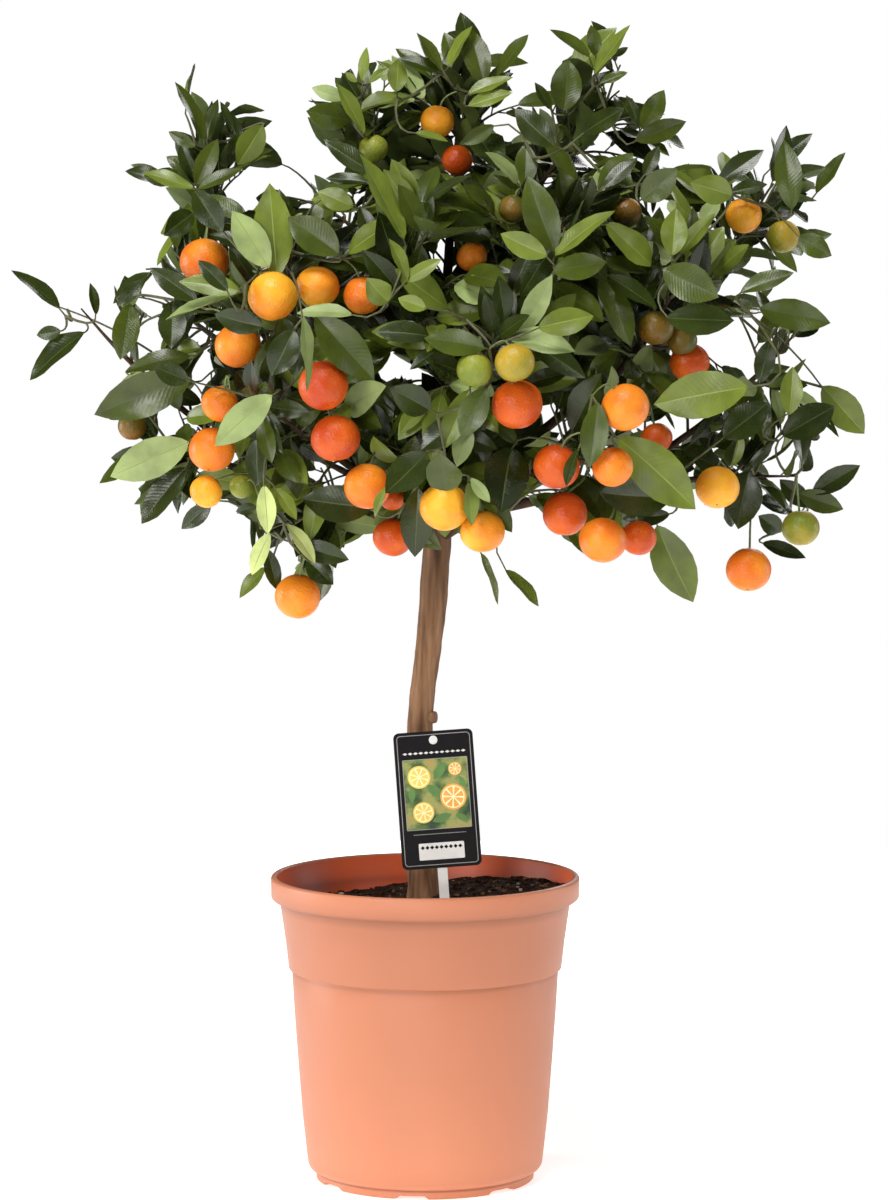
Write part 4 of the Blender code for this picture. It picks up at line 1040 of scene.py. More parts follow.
def smooth_between(values, share):
    """Catmull-Rom curve between the middle two of four values."""
    before, low, high, after = values
    square = share * share
    cube = square * share
    slope = (high - before) * share
    curve = (before * 2.0 - low * 5.0 + high * 4.0 - after) * square
    return (low * 2.0 + slope + curve + (low * 3.0 - before - high * 3.0 + after) * cube) * 0.5


def bark_relief(depth):
    """Long ridges and furrows with knots between them."""
    def relief(point):
        ridge = noise.noise(Vector((point.x * 330.0, point.y * 330.0, point.z * 28.0)))
        grain = noise.noise(Vector((point.x * 900.0, point.y * 900.0, point.z * 160.0)))
        swell = noise.noise(point * 55.0)
        return depth * (0.55 * ridge + 0.25 * grain + 0.8 * swell - 0.5)
    return relief


def make_wood(limbs):
    """Trunk with its root flare, pruned stub and bark relief, and the boughs."""
    wood = Shapes()
    trunk = limbs["trunk"]
    length = trunk.points[-1].z - trunk.points[0].z
    fine = finer(trunk, int(length / WOOD_STEP))
    ground = trunk.points[0].z
    relief = bark_relief(TRUNK_RELIEF)

    def flared(point):
        near_ground = max(0.0, 1.0 - (point.z - ground) / (FLARE_HEIGHT * MM)) ** 2
        angle = math.atan2(point.y, point.x - trunk.points[0].x)
        lobes = FLARE_DEPTH * near_ground * math.cos(FLARE_LOBES * angle)
        fade = min(1.0, (point.z - ground) / (2.0 * MM))
        return trunk.radii[0] * lobes + relief(point) * fade

    wood.add(*tube(fine.points, fine.radii, WOOD_SIDES, flared))
    middle = Vector(STUB_START) * MM
    out = Vector(STUB_WAY).normalized()
    stub = [middle + out * STUB_REACH * MM * step / (STUB_RINGS - 1) for step in range(STUB_RINGS)]
    radii = taper(STUB_RADII[0] * MM, STUB_RADII[1] * MM, STUB_RINGS)
    wood.add(*tube(stub, radii, STUB_SIDES, bark_relief(STUB_RELIEF)))
    for name, limb in limbs.items():
        if name != "trunk":
            fine = finer(limb, BOUGH_RINGS)
            wood.add(*tube(fine.points, fine.radii, BOUGH_SIDES, bark_relief(BOUGH_RELIEF)), 1)
    replaced = ["trunk"] + ["bough_" + mass.name for mass in MASSES]
    # The boughs' bark is a darker copy of the trunk's, which is painted shade.
    looks = [bark_look("bark", 1.0), bark_look("bough_bark", BOUGH_PAINTED_SHADE)]
    wood.piece("trunk_and_boughs", looks, 60.0, replaced)


# Leaves

def leaf_width(share):
    """Half width of the blade along its length: widest near the middle, with a drawn-out tip."""
    body = math.sin(math.pi * share ** 0.94) ** 0.74
    return body * (1.0 - 0.22 * max(0.0, share - 0.75) / 0.25)


LEAF_ROWS = np.array([share for share in LEAF_SHARES[1:-1] for span in LEAF_SPANS])
LEAF_COLUMNS = np.array([span for share in LEAF_SHARES[1:-1] for span in LEAF_SPANS])
LEAF_HALVES = np.array([leaf_width(share) for share in LEAF_ROWS])


def leaf_faces():
    """Faces of a leaf's two skins and the skin of each: 0 upper, 1 under, 2 rib."""
    rows = len(LEAF_SHARES) - 2
    columns = len(LEAF_SPANS)
    grid = rows * columns
    upper = [1 + index for index in range(grid)]
    tip = 1 + grid
    under = list(upper)
    extra = tip + 1
    for row in range(rows):
        for column in range(1, columns - 1):
            under[row * columns + column] = extra
            extra += 1
    faces, skins = [], []
    for skin, corners in ((0, upper), (1, under)):
        for column in range(columns - 1):
            look = 2 if column == columns // 2 - 1 and skin == 0 else skin
            first = (0, corners[column], corners[column + 1])
            last_row = (rows - 1) * columns
            last = (tip, corners[last_row + column + 1], corners[last_row + column])
            strip = [first]
            for row in range(rows - 1):
                low = row * columns + column
                high = low + columns
                strip.append((corners[low], corners[high], corners[high + 1]))
                strip.append((corners[low], corners[high + 1], corners[low + 1]))
            strip.append(last)
            for face in strip:
                faces.append(tuple(reversed(face)) if skin == 0 else face)
                skins.append(look)
    return faces, skins


LEAF_FACES, LEAF_SKINS = leaf_faces()
LEAF_INNER = [row * len(LEAF_SPANS) + column for row in range(len(LEAF_SHARES) - 2)
              for column in range(1, len(LEAF_SPANS) - 1)]


def leaf_frame(leaf):
    """The leaf's own axes: along it, across it and out of its upper skin."""
    along = leaf.along.normalized()
    across = along.cross(leaf.face).normalized()
    return along, across, across.cross(along)


def leaf_points(leaf, shares, spans, halves):
    """Points on the leaf's middle surface at shares along it and spans across it."""
    along, across, out = (np.array(axis) for axis in leaf_frame(leaf))
    half = halves * leaf.width / 2.0
    side = spans * half
    bend = -leaf.arch * leaf.length * shares ** 1.8
    lift = leaf.fold * np.abs(side) * (1.0 - 0.35 * np.abs(spans))
    lift = lift + leaf.twist * side * shares
    ripple = leaf.wave * half * spans ** 2 * np.sin(shares * 9.0 + leaf.turn * 40.0 + spans)
    reach = leaf.length * shares * (1.0 - 0.25 * leaf.arch * shares)
    sway = leaf.turn * leaf.length * shares ** 2
    place = np.array(leaf.root)
    return (place + np.outer(reach, along) + np.outer(side + sway, across)
            + np.outer(bend + lift + ripple, out))


def add_leaf(shapes, leaf):
    """Both skins of a leaf and the paler rib, in the tone of the leaf."""
    grid = leaf_points(leaf, LEAF_ROWS, LEAF_COLUMNS, LEAF_HALVES)
    ends = leaf_points(leaf, np.array([0.0, 1.0]), np.array([0.0, 0.0]), np.array([0.0, 0.0]))
    out = np.array(leaf_frame(leaf)[2])
    thick = LEAF_THICKNESS * (1.0 + 1.2 * (np.abs(LEAF_COLUMNS[LEAF_INNER]) < 0.1))
    under = grid[LEAF_INNER] - np.outer(thick, out)
    verts = [ends[0], *grid, ends[1], *under]
    tone = TONE_NAMES.index(leaf.tone)
    pale = len(TONE_NAMES)
    rib = pale + (1 if leaf.tone in DARK_TONES else 2)
    looks = [(tone, pale, rib)[skin] for skin in LEAF_SKINS]
    spots = [(0.5, 0.0)]
    spots += [(0.5 + span / 2.0, share) for share, span in zip(LEAF_ROWS, LEAF_COLUMNS)]
    spots.append((0.5, 1.0))
    spots += [spots[1 + index] for index in LEAF_INNER]
    shapes.add([tuple(vert) for vert in verts], LEAF_FACES, looks, spots)


SHEET_SHARES = np.array([0.0, 0.3, 0.3, 0.65, 0.65, 1.0])
SHEET_SPANS = np.array([0.0, -1.0, 1.0, -1.0, 1.0, 0.0])
SHEET_HALVES = np.array([leaf_width(share) for share in SHEET_SHARES])
SHEET_FACES = ((0, 1, 2), (1, 3, 2), (2, 3, 4), (3, 5, 4))
TEST_SHARES = np.array([0.15, 0.35, 0.35, 0.35, 0.55, 0.55, 0.55, 0.8, 0.8, 1.0])
TEST_SPANS = np.array([0.0, -1.0, 0.0, 1.0, -1.0, 0.0, 1.0, -1.0, 1.0, 0.0])
TEST_HALVES = np.array([leaf_width(share) for share in TEST_SHARES])


class Crown:
    """All the twigs, leaves and fruit, grown mass by mass."""

    def __init__(self, masses, limbs):
        self.masses = masses
        self.dice = random.Random(SEED)
        self.limbs = limbs
        self.stems = {mass.name: grow_stem(mass, limbs[mass.name]) for mass in masses}
        self.leaves = {mass.name: [] for mass in masses}
        self.twigs = []
        self.petioles = []
        self.fruits = []
        self.grid = {}
        self.wood = {mass.name: [] for mass in masses}
        self.front = self.front_marks()
        self.sky = np.array(SKY, dtype=float)
        full = [mass for mass in masses if mass.name not in BARE]
        self.middles = np.array([tuple(mass.centre) for mass in full])
        self.halves = np.array([tuple(mass.half) for mass in full])
        self.low = np.array(cad_box[0]) - BOX_MARGIN
        self.high = np.array(cad_box[1]) + BOX_MARGIN

    def grow(self):
        self.place_fruits()
        for mass in self.masses:
            stem = self.stems[mass.name]
            places = [limb_place(stem, step / STEM_MARKS)[0] for step in range(STEM_MARKS + 1)]
            self.note_wood(mass, places)
        self.place_front_leaves()
        for mass in self.masses:
            self.grow_mass(mass)

    def front_marks(self):
        """Each fruit and front leaf as a thick line in the photograph, with its depth."""
        marks = []
        for rows in FRUITS.values():
            for x, y, z, radius, colour in rows:
                middle = Vector((x, y, z)) * MM
                across, down = to_pixel(middle)
                size = radius * MM * PIXELS / (middle.y - CAMERA_PLACE.y)
                marks.append((across, down, across, down, size * FRUIT_IN_VIEW, middle.y))
        for u0, v0, u1, v1, width, tone, back in FRONT_LEAVES:
            depth = leaf_depth((u0 + u1) / 2.0, (v0 + v1) / 2.0, back)
            marks.append((u0, v0, u1, v1, width * LEAF_IN_VIEW, depth + 4.0 * MM))
        return np.array(marks)

    def place_fruits(self):
        self.fruit_middles = []
        self.fruit_radii = []
        for mass in self.masses:
            for x, y, z, radius, colour in FRUITS.get(mass.name, ()):
                middle = Vector((x, y, z)) * MM
                self.fruits.append((mass, middle, radius * MM, colour))
                self.fruit_middles.append(middle)
                self.fruit_radii.append(radius * MM)
        self.fruit_middles = np.array(self.fruit_middles)
        self.fruit_radii = np.array(self.fruit_radii)

    def note_wood(self, mass, points):
        self.wood[mass.name].extend(points)

    def nearest_wood(self, mass, place):
        return min(self.wood[mass.name], key=lambda point: (point - place).length)

    def meets_fruit(self, points, room=FRUIT_ROOM):
        away = np.linalg.norm(points[:, None, :] - self.fruit_middles[None, :, :], axis=2)
        return bool((away < self.fruit_radii + room).any())

    def in_pixels(self, points):
        away = points - np.array(CAMERA_PLACE)
        sine, cosine = math.sin(CAMERA_TILT), math.cos(CAMERA_TILT)
        depth = away[:, 1] * cosine - away[:, 2] * sine
        rise = away[:, 1] * sine + away[:, 2] * cosine
        across = IMAGE_WIDTH / 2.0 + PIXELS * away[:, 0] / depth
        down = IMAGE_HEIGHT / 2.0 - PIXELS * rise / depth
        return np.stack([across, down], axis=1)

    def spoils_front(self, points):
        """Whether points hide a front leaf or fruit, or fill a patch of sky."""
        spots = self.in_pixels(points)
        away = np.linalg.norm(spots[:, None, :] - self.sky[None, :, :2], axis=2)
        if (away < self.sky[:, 2]).any():
            return True
        starts, ends = self.front[:, 0:2], self.front[:, 2:4]
        runs = ends - starts
        lengths = np.maximum((runs ** 2).sum(axis=1), 1e-6)
        offsets = spots[:, None, :] - starts[None, :, :]
        shares = np.clip((offsets * runs[None]).sum(axis=2) / lengths, 0.0, 1.0)
        gaps = np.linalg.norm(offsets - shares[:, :, None] * runs[None], axis=2)
        hides = (gaps < self.front[:, 4]) & (points[:, 1][:, None] < self.front[:, 5])
        return bool(hides.any())

    def in_box(self, points):
        return bool((points > self.low).all() and (points < self.high).all())

    def in_crown(self, mass, points):
        """Whether points stay in the masses or close to a line to one of the mass's tips."""
        away = (points[:, None, :] - self.middles[None]) / self.halves[None]
        inside = np.linalg.norm(away, axis=2).min(axis=1) < CROWN_BORDER
        away = (points - np.array(CROWN_MIDDLE)) / (np.array(CROWN_HALF) * CORE_SHARE)
        inside |= np.linalg.norm(away, axis=1) < 1.0
        for tip in () if mass.name in BARE else mass.tips:
            run = np.array(tip - mass.centre)
            offsets = points - np.array(mass.centre)
            shares = np.clip(offsets @ run / (run @ run), 0.0, 1.0)
            inside |= np.linalg.norm(offsets - np.outer(shares, run), axis=1) < TIP_WIDTH
        return bool(inside.all())

    def cell(self, place):
        return tuple(int(math.floor(part / GRID)) for part in place)

    def crosses_leaf(self, tree, middle):
        home = self.cell(middle)
        for x in (-1, 0, 1):
            for y in (-1, 0, 1):
                for z in (-1, 0, 1):
                    for other in self.grid.get((home[0] + x, home[1] + y, home[2] + z), ()):
                        if tree.overlap(other):
                            return True
        return False

    def keep_leaf(self, mass, leaf, strict=True):
        """Place a leaf if it has room; a listed one only has to avoid the fruit."""
        points = leaf_points(leaf, TEST_SHARES, TEST_SPANS, TEST_HALVES)
        if self.meets_fruit(points) or not self.in_box(points):
            return False
        if strict and not self.in_crown(mass, points):
            return False
        sheet = leaf_points(leaf, SHEET_SHARES, SHEET_SPANS, SHEET_HALVES)
        tree = BVHTree.FromPolygons([tuple(point) for point in sheet], SHEET_FACES)
        middle = sheet.mean(axis=0)
        if strict and (self.spoils_front(points) or self.crosses_leaf(tree, middle)):
            return False
        self.grid.setdefault(self.cell(middle), []).append(tree)
        self.leaves[mass.name].append(leaf)
        return True

    def place_front_leaves(self):
        """The leaves of the list, each on a twig from the nearest wood of its mass."""
        for name, first, middle, last in FRONT_TWIGS:
            self.place_front_twig(name, first, middle, last)
        for u0, v0, u1, v1, width, tone, back in FRONT_LEAVES:
            depth = leaf_depth((u0 + u1) / 2.0, (v0 + v1) / 2.0, back)
            for nudge in NUDGES:
                root = at_pixel(u0, v0, depth + nudge * MM)
                tip = at_pixel(u1, v1, depth + nudge * MM)
                seen = (tip - root).length
                broad = width * (root.y - CAMERA_PLACE.y) / PIXELS
                length = max(seen, broad / WIDEST_LEAF)
                toward = (CAMERA_PLACE - tip).normalized()
                tip = tip + toward * math.sqrt(max(length ** 2 - seen ** 2, 0.0))
                along = (tip - root).normalized()
                full = max(broad, length * SLIMMEST_LEAF)
                roll = math.acos(min(broad / full, 1.0))
                front = (toward - along * toward.dot(along)).normalized()
                above = (UP - along * UP.dot(along)).normalized()
                face = front * math.cos(roll) + above * math.sin(roll)
                form = [self.dice.uniform(*span) for span in LISTED_FORM]
                leaf = Leaf(root, along, face, length, full * 1.06, *form, tone)
                mass = min(self.masses, key=lambda row: depth_in(row, root))
                if self.keep_leaf(mass, leaf, strict=False):
                    self.reach_leaf(mass, root, along)
                    break

    def place_front_twig(self, name, first, middle, last):
        """A thin twig through three pixels, from the nearest wood of its mass."""
        mass = next(row for row in self.masses if row.name == name)
        depth = mass.centre.y
        start, control, end = (at_pixel(*pixel, depth) for pixel in (first, middle, last))
        root = self.nearest_wood(mass, start)
        points = curve_points(root, root.lerp(start, 0.5) + UP * 4.0 * MM, start, 6)
        points += curve_points(start, control * 2.0 - start.lerp(end, 0.5), end, 10)[1:]
        self.twigs.append(Limb(points, taper(TWIG_BASE_RADIUS, TWIG_TIP_RADIUS, len(points))))
        self.note_wood(mass, points[1:])

    def reach_leaf(self, mass, root, along):
        """A twig to a leaf's root, from the mass's nearest wood or from other wood with a clear way."""
        def way(start):
            gap = (root - start).length
            control = root - along * gap * 0.4 - UP * gap * 0.08
            return self.clear_path(start, control, root + along * 1.5 * MM)

        wood = [point for row in self.wood.values() for point in row]
        near = sorted(wood, key=lambda point: (point - root).length)[:WOOD_CHOICES]
        first = self.nearest_wood(mass, root)
        clear = (points for points, clear in map(way, [first, *near]) if clear)
        points = next(clear, None) or way(first)[0]
        radius = min(TWIG_BASE_RADIUS, (root - points[0]).length * 0.03 + TWIG_TIP_RADIUS)
        self.twigs.append(Limb(points, taper(radius, PETIOLE_RADIUS, TWIG_POINTS)))
        self.note_wood(mass, points[1:-1])

    def clear_path(self, start, control, end):
        """A twig's points, bent so that it crosses no fruit and hides none, and whether it is."""
        paths = [curve_points(start, control + Vector(bend) * MM, end, TWIG_POINTS) for bend in BENDS]
        for strict in (True, False):
            for points in paths:
                tests = np.array([tuple(point) for point in points[1:-1]])
                if not (self.meets_fruit(tests) or strict and self.spoils_front(tests)):
                    return points, strict
        return paths[0], False

    def grow_mass(self, mass):
        """Twigs to points all round the border of a mass, and leaves along them."""
        stem = self.stems[mass.name]
        along = stem.points[-1] - stem.points[0]
        targets = list(mass.tips)
        count = SPARSE.get(mass.name, TWIGS)
        for index in range(count):
            height = 1.0 - 2.0 * (index + 0.5) / count
            angle = index * GOLDEN_ANGLE + self.dice.uniform(0.0, 0.8)
            flat = math.sqrt(1.0 - height * height)
            way = (flat * math.cos(angle), flat * math.sin(angle), height)
            border = Vector([way[axis] * mass.half[axis] for axis in range(3)])
            targets.append(mass.centre + border)
        targets.sort(key=lambda target: target.dot(along))
        first, last = TWIG_STARTS
        for index, target in enumerate(targets):
            start = limb_place(stem, first + (last - first) * index / (len(targets) - 1))[0]
            reach = target - start
            if target in mass.tips and mass.name in BARE:
                continue
            if target in mass.tips:
                end = target - reach.normalized() * min(TIP_ROOM, reach.length * 0.5)
            else:
                end = start + reach * TWIG_ENDS
            control = start.lerp(end, 0.5) + UP * (end - start).length * TWIG_ARCH
            points = curve_points(start, control, end, TWIG_POINTS)
            tests = np.array([tuple(point) for point in points[1:]])
            if self.meets_fruit(tests, TWIG_ROOM):
                continue
            self.keep_twig(mass, Limb(points, taper(TWIG_BASE_RADIUS, TWIG_TIP_RADIUS, TWIG_POINTS)))
        self.dress(mass, stem)
        self.grow_core(mass)

    def grow_core(self, mass):
        """Short twigs along the bough, which fill the inside of the crown."""
        bough = self.limbs[mass.name]
        turn = self.dice.uniform(0.0, 2.0 * math.pi)
        for index in range(CORE_TWIGS):
            start, along, radius = limb_place(bough, 0.25 + 0.7 * index / CORE_TWIGS)
            turn += GOLDEN_ANGLE
            across = along.orthogonal().normalized()
            out = across * math.cos(turn) + along.cross(across) * math.sin(turn)
            end = start + (out + along * 0.5 + UP * 0.3).normalized() * CORE_REACH
            control = start.lerp(end, 0.5) + UP * CORE_REACH * TWIG_ARCH
            points = curve_points(start, control, end, TWIG_POINTS)
            if self.meets_fruit(np.array([tuple(point) for point in points]), TWIG_ROOM):
                continue
            self.keep_twig(mass, Limb(points, taper(TWIG_BASE_RADIUS, TWIG_TIP_RADIUS, TWIG_POINTS)))

    def keep_twig(self, mass, twig):
        """Keep a twig as far as its last leaf."""
        reach = self.dress(mass, twig)
        count = math.ceil(reach * (TWIG_POINTS - 1)) + 1
        if count > 1:
            self.twigs.append(Limb(twig.points[:count], twig.radii[:count]))
            self.note_wood(mass, twig.points[1:count])

    def dress(self, mass, twig):
        """Leaves round a twig at the golden angle and at its end; how far out the last one shows."""
        length = sum((high - low).length for low, high in zip(twig.points, twig.points[1:]))
        count = max(3, round(length * (1.0 - LEAF_FIRST) / LEAF_STEP))
        turn = self.dice.uniform(0.0, 2.0 * math.pi)
        last = 0.0
        shown = (len(self.leaves[mass.name]), len(self.petioles))
        for step in range(count + END_LEAVES):
            at_end = step >= count
            share = 1.0 if at_end else LEAF_FIRST + (1.0 - LEAF_FIRST) * step / count
            root, along, radius = limb_place(twig, min(share, 0.999))
            turn += GOLDEN_ANGLE
            for attempt in range(LEAF_TRIES):
                leaf = self.roll_leaf(mass, root, along, turn + attempt * 1.3, share, at_end)
                if self.keep_leaf(mass, leaf):
                    self.petioles.append((root, leaf.root + leaf.along * 1.0 * MM))
                    if self.shows(leaf):
                        last = share
                        shown = (len(self.leaves[mass.name]), len(self.petioles))
                    break
        del self.leaves[mass.name][shown[0]:]
        del self.petioles[shown[1]:]
        return last

    def shows(self, leaf):
        """Whether a leaf turns enough of its blade to the camera or away from it."""
        normal = (leaf.face - leaf.along * leaf.face.dot(leaf.along)).normalized()
        return abs(normal.dot((CAMERA_PLACE - leaf.root).normalized())) > LEAF_SHOWS

    def roll_leaf(self, mass, root, along, turn, share, at_end):
        """One leaf that leaves the twig at an angle and turns its face up and outwards."""
        across = along.orthogonal().normalized()
        other = along.cross(across)
        out = across * math.cos(turn) + other * math.sin(turn)
        lean = self.dice.uniform(*(END_LEAN if at_end else SIDE_LEAN))
        way = (along + out * lean + UP * self.dice.uniform(-0.15, 0.2)).normalized()
        outward = (root - CROWN_MIDDLE).normalized()
        side = -1.0 if root.y + self.dice.uniform(-0.05, 0.05) < 0.02 else 1.0
        face = UP * self.dice.uniform(0.3, 1.0) + outward * self.dice.uniform(0.2, 1.2)
        face.y += side * self.dice.uniform(0.0, 1.3)
        if abs(way.dot(face.normalized())) > 0.94:
            face = outward - UP * 0.3
        size = LEAF_LENGTH * self.dice.uniform(1.0 - LEAF_VARIATION, 1.0 + LEAF_VARIATION)
        # Leaves deep in a mass take the darker tones, partly as painted shade.
        outer = depth_in(mass, root + way * size) > 0.8
        tone = self.dice.choice(OUTER_TONES if outer else INNER_TONES)
        width = size * LEAF_RATIO * self.dice.uniform(0.85, 1.12)
        form = [self.dice.uniform(*span) for span in LEAF_FORM]
        return Leaf(root + way * PETIOLE_LENGTH, way, face, size, width, *form, tone)

    def make(self):
        """Pieces of leaves, twigs and fruit, each kind joined apart."""
        looks = [leaf_look("leaf_" + name, LEAF_TONES[name], LEAF_ROUGHNESS[name])
                 for name in TONE_NAMES]
        looks.append(leaf_look("leaf_underside", UNDERSIDE, 0.62))
        looks.append(plain_look("leaf_rib", DARK_RIB, 0.45))
        looks.append(plain_look("leaf_rib_pale", PALE_RIB, 0.5))
        groups = {}
        for mass in self.masses:
            side = "left" if mass.centre.x < -0.06 else "right" if mass.centre.x > 0.11 else "middle"
            row = "back" if mass.centre.y > 0.05 else "front"
            groups.setdefault(f"leaves_{row}_{side}", []).append(mass.name)
        for name, members in groups.items():
            shapes = Shapes()
            for member in members:
                for leaf in self.leaves[member]:
                    add_leaf(shapes, leaf)
            shapes.piece(name, looks, 55.0, ["foliage_" + member for member in members])
        self.make_twigs()
        self.make_fruits()

    def make_twigs(self):
        shapes = Shapes()
        for stem in self.stems.values():
            fine = finer(stem, STEM_RINGS)
            shapes.add(*tube(fine.points, fine.radii, STEM_SIDES, bark_relief(STEM_RELIEF)), 0)
        for twig in self.twigs:
            shapes.add(*tube(twig.points, twig.radii, 6), 1)
        for start, end in self.petioles:
            shapes.add(*tube([start, end], [PETIOLE_RADIUS * 1.2, PETIOLE_RADIUS], 5), 1)
        # The stems' bark is the same darker copy, which is painted shade.
        looks = [bark_look("stem_bark_painted_shade", BOUGH_PAINTED_SHADE), twig_look("twig_green", TWIG_GREEN)]
        shapes.piece("twigs", looks, 60.0)

    def make_fruits(self):
        shapes = Shapes()
        stalks = Shapes()
        looks = [fruit_look(name, FRUIT_COLOURS[name]) for name in FRUIT_NAMES]
        looks.append(plain_look("calyx", CALYX_GREEN, 0.7))
        looks.append(plain_look("fruit_scar", SCAR_BROWN, 0.8))
        for mass, middle, radius, colour in self.fruits:
            start = self.nearest_wood(mass, middle + UP * radius * 1.3)
            up = (UP * 1.2 + (start - middle).normalized() * 0.9
                  + Vector([self.dice.uniform(-0.2, 0.2) for axis in range(3)])).normalized()
            add_fruit(shapes, middle, radius, up, FRUIT_NAMES.index(colour), len(FRUIT_NAMES), self.dice)
            head = middle + up * radius * 0.9
            control = head + up * (start - head).length * 0.5
            points, clear = self.clear_path(start, control, head)
            stalks.add(*tube(points, taper(*STALK_RADII, TWIG_POINTS), 7))
        shapes.piece("fruits", looks, 60.0)
        stalks.piece("fruit_stalks", [twig_look("stalk_green", STALK_GREEN)], 60.0)


# Fruit

FRUIT_SIDES = 30
FRUIT_RINGS = 20
FRUIT_FLATNESS = (0.92, 0.98)
FRUIT_LUMPS = 0.018
NECK_WIDTH = 0.34
NECK_DEPTH = 0.07
CALYX_PLACE = 0.93
CALYX_WIDTH = 0.24
CALYX_CORNERS = 10
SCAR_SIDES = 8


def add_fruit(shapes, middle, radius, up, colour, first_extra, dice):
    """A slightly flattened fruit with a sunken neck, a calyx star and a scar."""
    turn = Matrix.Translation(middle) @ up.to_track_quat("Z", "Y").to_matrix().to_4x4()
    turn = turn @ Matrix.Rotation(dice.uniform(0.0, 6.28), 4, "Z")
    flat = dice.uniform(*FRUIT_FLATNESS)
    shift = Vector([dice.uniform(-50.0, 50.0) for axis in range(3)])
    outline = []
    for ring in range(FRUIT_RINGS + 1):
        polar = math.pi * ring / FRUIT_RINGS
        wide = math.sin(polar) * radius
        height = -math.cos(polar) * radius * flat
        pole = 1.0 - min(1.0, wide / (radius * NECK_WIDTH))
        height -= math.copysign(pole ** 2 * radius * NECK_DEPTH, height)
        outline.append((wide, height))
    outline[0] = (0.0, outline[0][1])
    outline[-1] = (0.0, outline[-1][1])
    verts, faces = lathe(outline, FRUIT_SIDES)
    lumpy = []
    for vert in verts:
        swell = 1.0 + FRUIT_LUMPS * noise.noise(vert.normalized() * 1.6 + shift)
        lumpy.append(tuple(turn @ (vert * swell)))
    shapes.add(lumpy, faces, colour)
    top = radius * flat * CALYX_PLACE
    add_calyx(shapes, turn, top, radius * CALYX_WIDTH, first_extra)
    scar = [(0.0, -0.3 * MM), (radius * 0.07, -0.2 * MM), (radius * 0.05, 0.3 * MM), (0.0, 0.35 * MM)]
    verts, faces = lathe(scar, SCAR_SIDES)
    place = turn @ Matrix.Translation((0.0, 0.0, -top)) @ Matrix.Rotation(math.pi, 4, "X")
    shapes.add([tuple(place @ vert) for vert in verts], faces, first_extra + 1)


def add_calyx(shapes, turn, height, reach, look):
    """A low five-pointed star that lies on the fruit's neck."""
    verts = [Vector((0.0, 0.0, height + 0.9 * MM)), Vector((0.0, 0.0, height - 1.2 * MM))]
    faces = []
    for index in range(CALYX_CORNERS):
        angle = 2.0 * math.pi * index / CALYX_CORNERS
        is_tip = index % 2 == 0
        out = reach if is_tip else reach * 0.5
        level = height - (0.4 if is_tip else -0.2) * MM
        verts.append(Vector((out * math.cos(angle), out * math.sin(angle), level)))
        verts.append(Vector((out * math.cos(angle), out * math.sin(angle), level - 0.7 * MM)))
        here = 2 + 2 * index
        after = 2 + 2 * ((index + 1) % CALYX_CORNERS)
        faces += [(0, here, after), (1, after + 1, here + 1), (here, here + 1, after + 1, after)]
    shapes.add([tuple(turn @ vert) for vert in verts], faces, look)


# Pot and soil

POT_SIDES = 192
POT_COLOUR = (0.52, 0.186, 0.094)
# Painted shade: the inside wall is a deeper, redder copy of the pot's colour.
POT_INSIDE_PAINTED_SHADE = (0.80, 0.125, 0.034)
INSIDE_RINGS = 6
NOTCH_COUNT = 7
NOTCH_HEIGHT = 2.4 * MM
NOTCH_SHARE = 0.34
NOTCH_TURN = 0.118
NOTCH_EASE = 0.25
FOOT_RADIUS = 70.0 * MM
FOOT_HEIGHT = 1.0 * MM

# The soil's surface, its walls as radius and height in millimetres, and its crumbs.
SOIL_LEVEL = 201.2 * MM
SOIL_RADIUS = 102.7 * MM
SOIL_RINGS = 70
SOIL_SIDES = 160
SOIL_MOUND = 6.0 * MM
SOIL_SLOPE = 0.095
SOIL_FLARE = 0.35
SOIL_WALL = ((94.3, 151.0), (82.5, 12.5))
CRUMBS = 950
CRUMB_SIZES = (0.9, 2.6)
CRUMB_EDGE = 0.985


def arc(middle, radius, first, last, steps):
    """Points of an arc round a middle point, between two angles in degrees."""
    points = []
    for step in range(steps + 1):
        angle = math.radians(first + (last - first) * step / steps)
        points.append((middle[0] + radius * math.cos(angle), middle[1] + radius * math.sin(angle)))
    return points


def pot_outline():
    """The pot's section, in millimetres: foot, seam, wall, ledge, band, rolled lip, inside."""
    foot = [(0.0, 0.0), (15.0, 0.0), (16.0, 3.0), (73.0, 3.0), (74.0, 0.4), (74.4, 0.0),
            (78.6, 0.0), (79.2, 0.5)]
    seam = [(79.4, 4.8), (79.2, 5.6), (80.0, 6.4), *arc((78.6, 13.4), 7.0, -75, -8, 7)]
    wall = [(86.6, 22.0), (89.4, 48.0), (92.9, 93.0), (95.0, 122.0), (96.8, 152.6)]
    ledge = [(96.6, 153.6), (97.0, 154.2), (98.6, 154.5), (99.0, 154.9), (99.2, 155.6),
             (101.4, 175.0), (105.0, 200.5)]
    lip = [(105.8, 203.4), *arc((108.8, 208.2), 3.2, -115, -20, 5), *arc((109.6, 219.6), 2.4, 0, 90, 6)]
    inside = [(108.4, 221.8), (107.6, 220.8), (107.1, 212.0), (102.6, 199.0), (94.8, 151.0),
              (83.0, 12.0), (79.0, 8.0), (0.0, 8.0)]
    section = foot + seam + wall + ledge + lip + inside
    return [(radius * MM, height * MM) for radius, height in section]


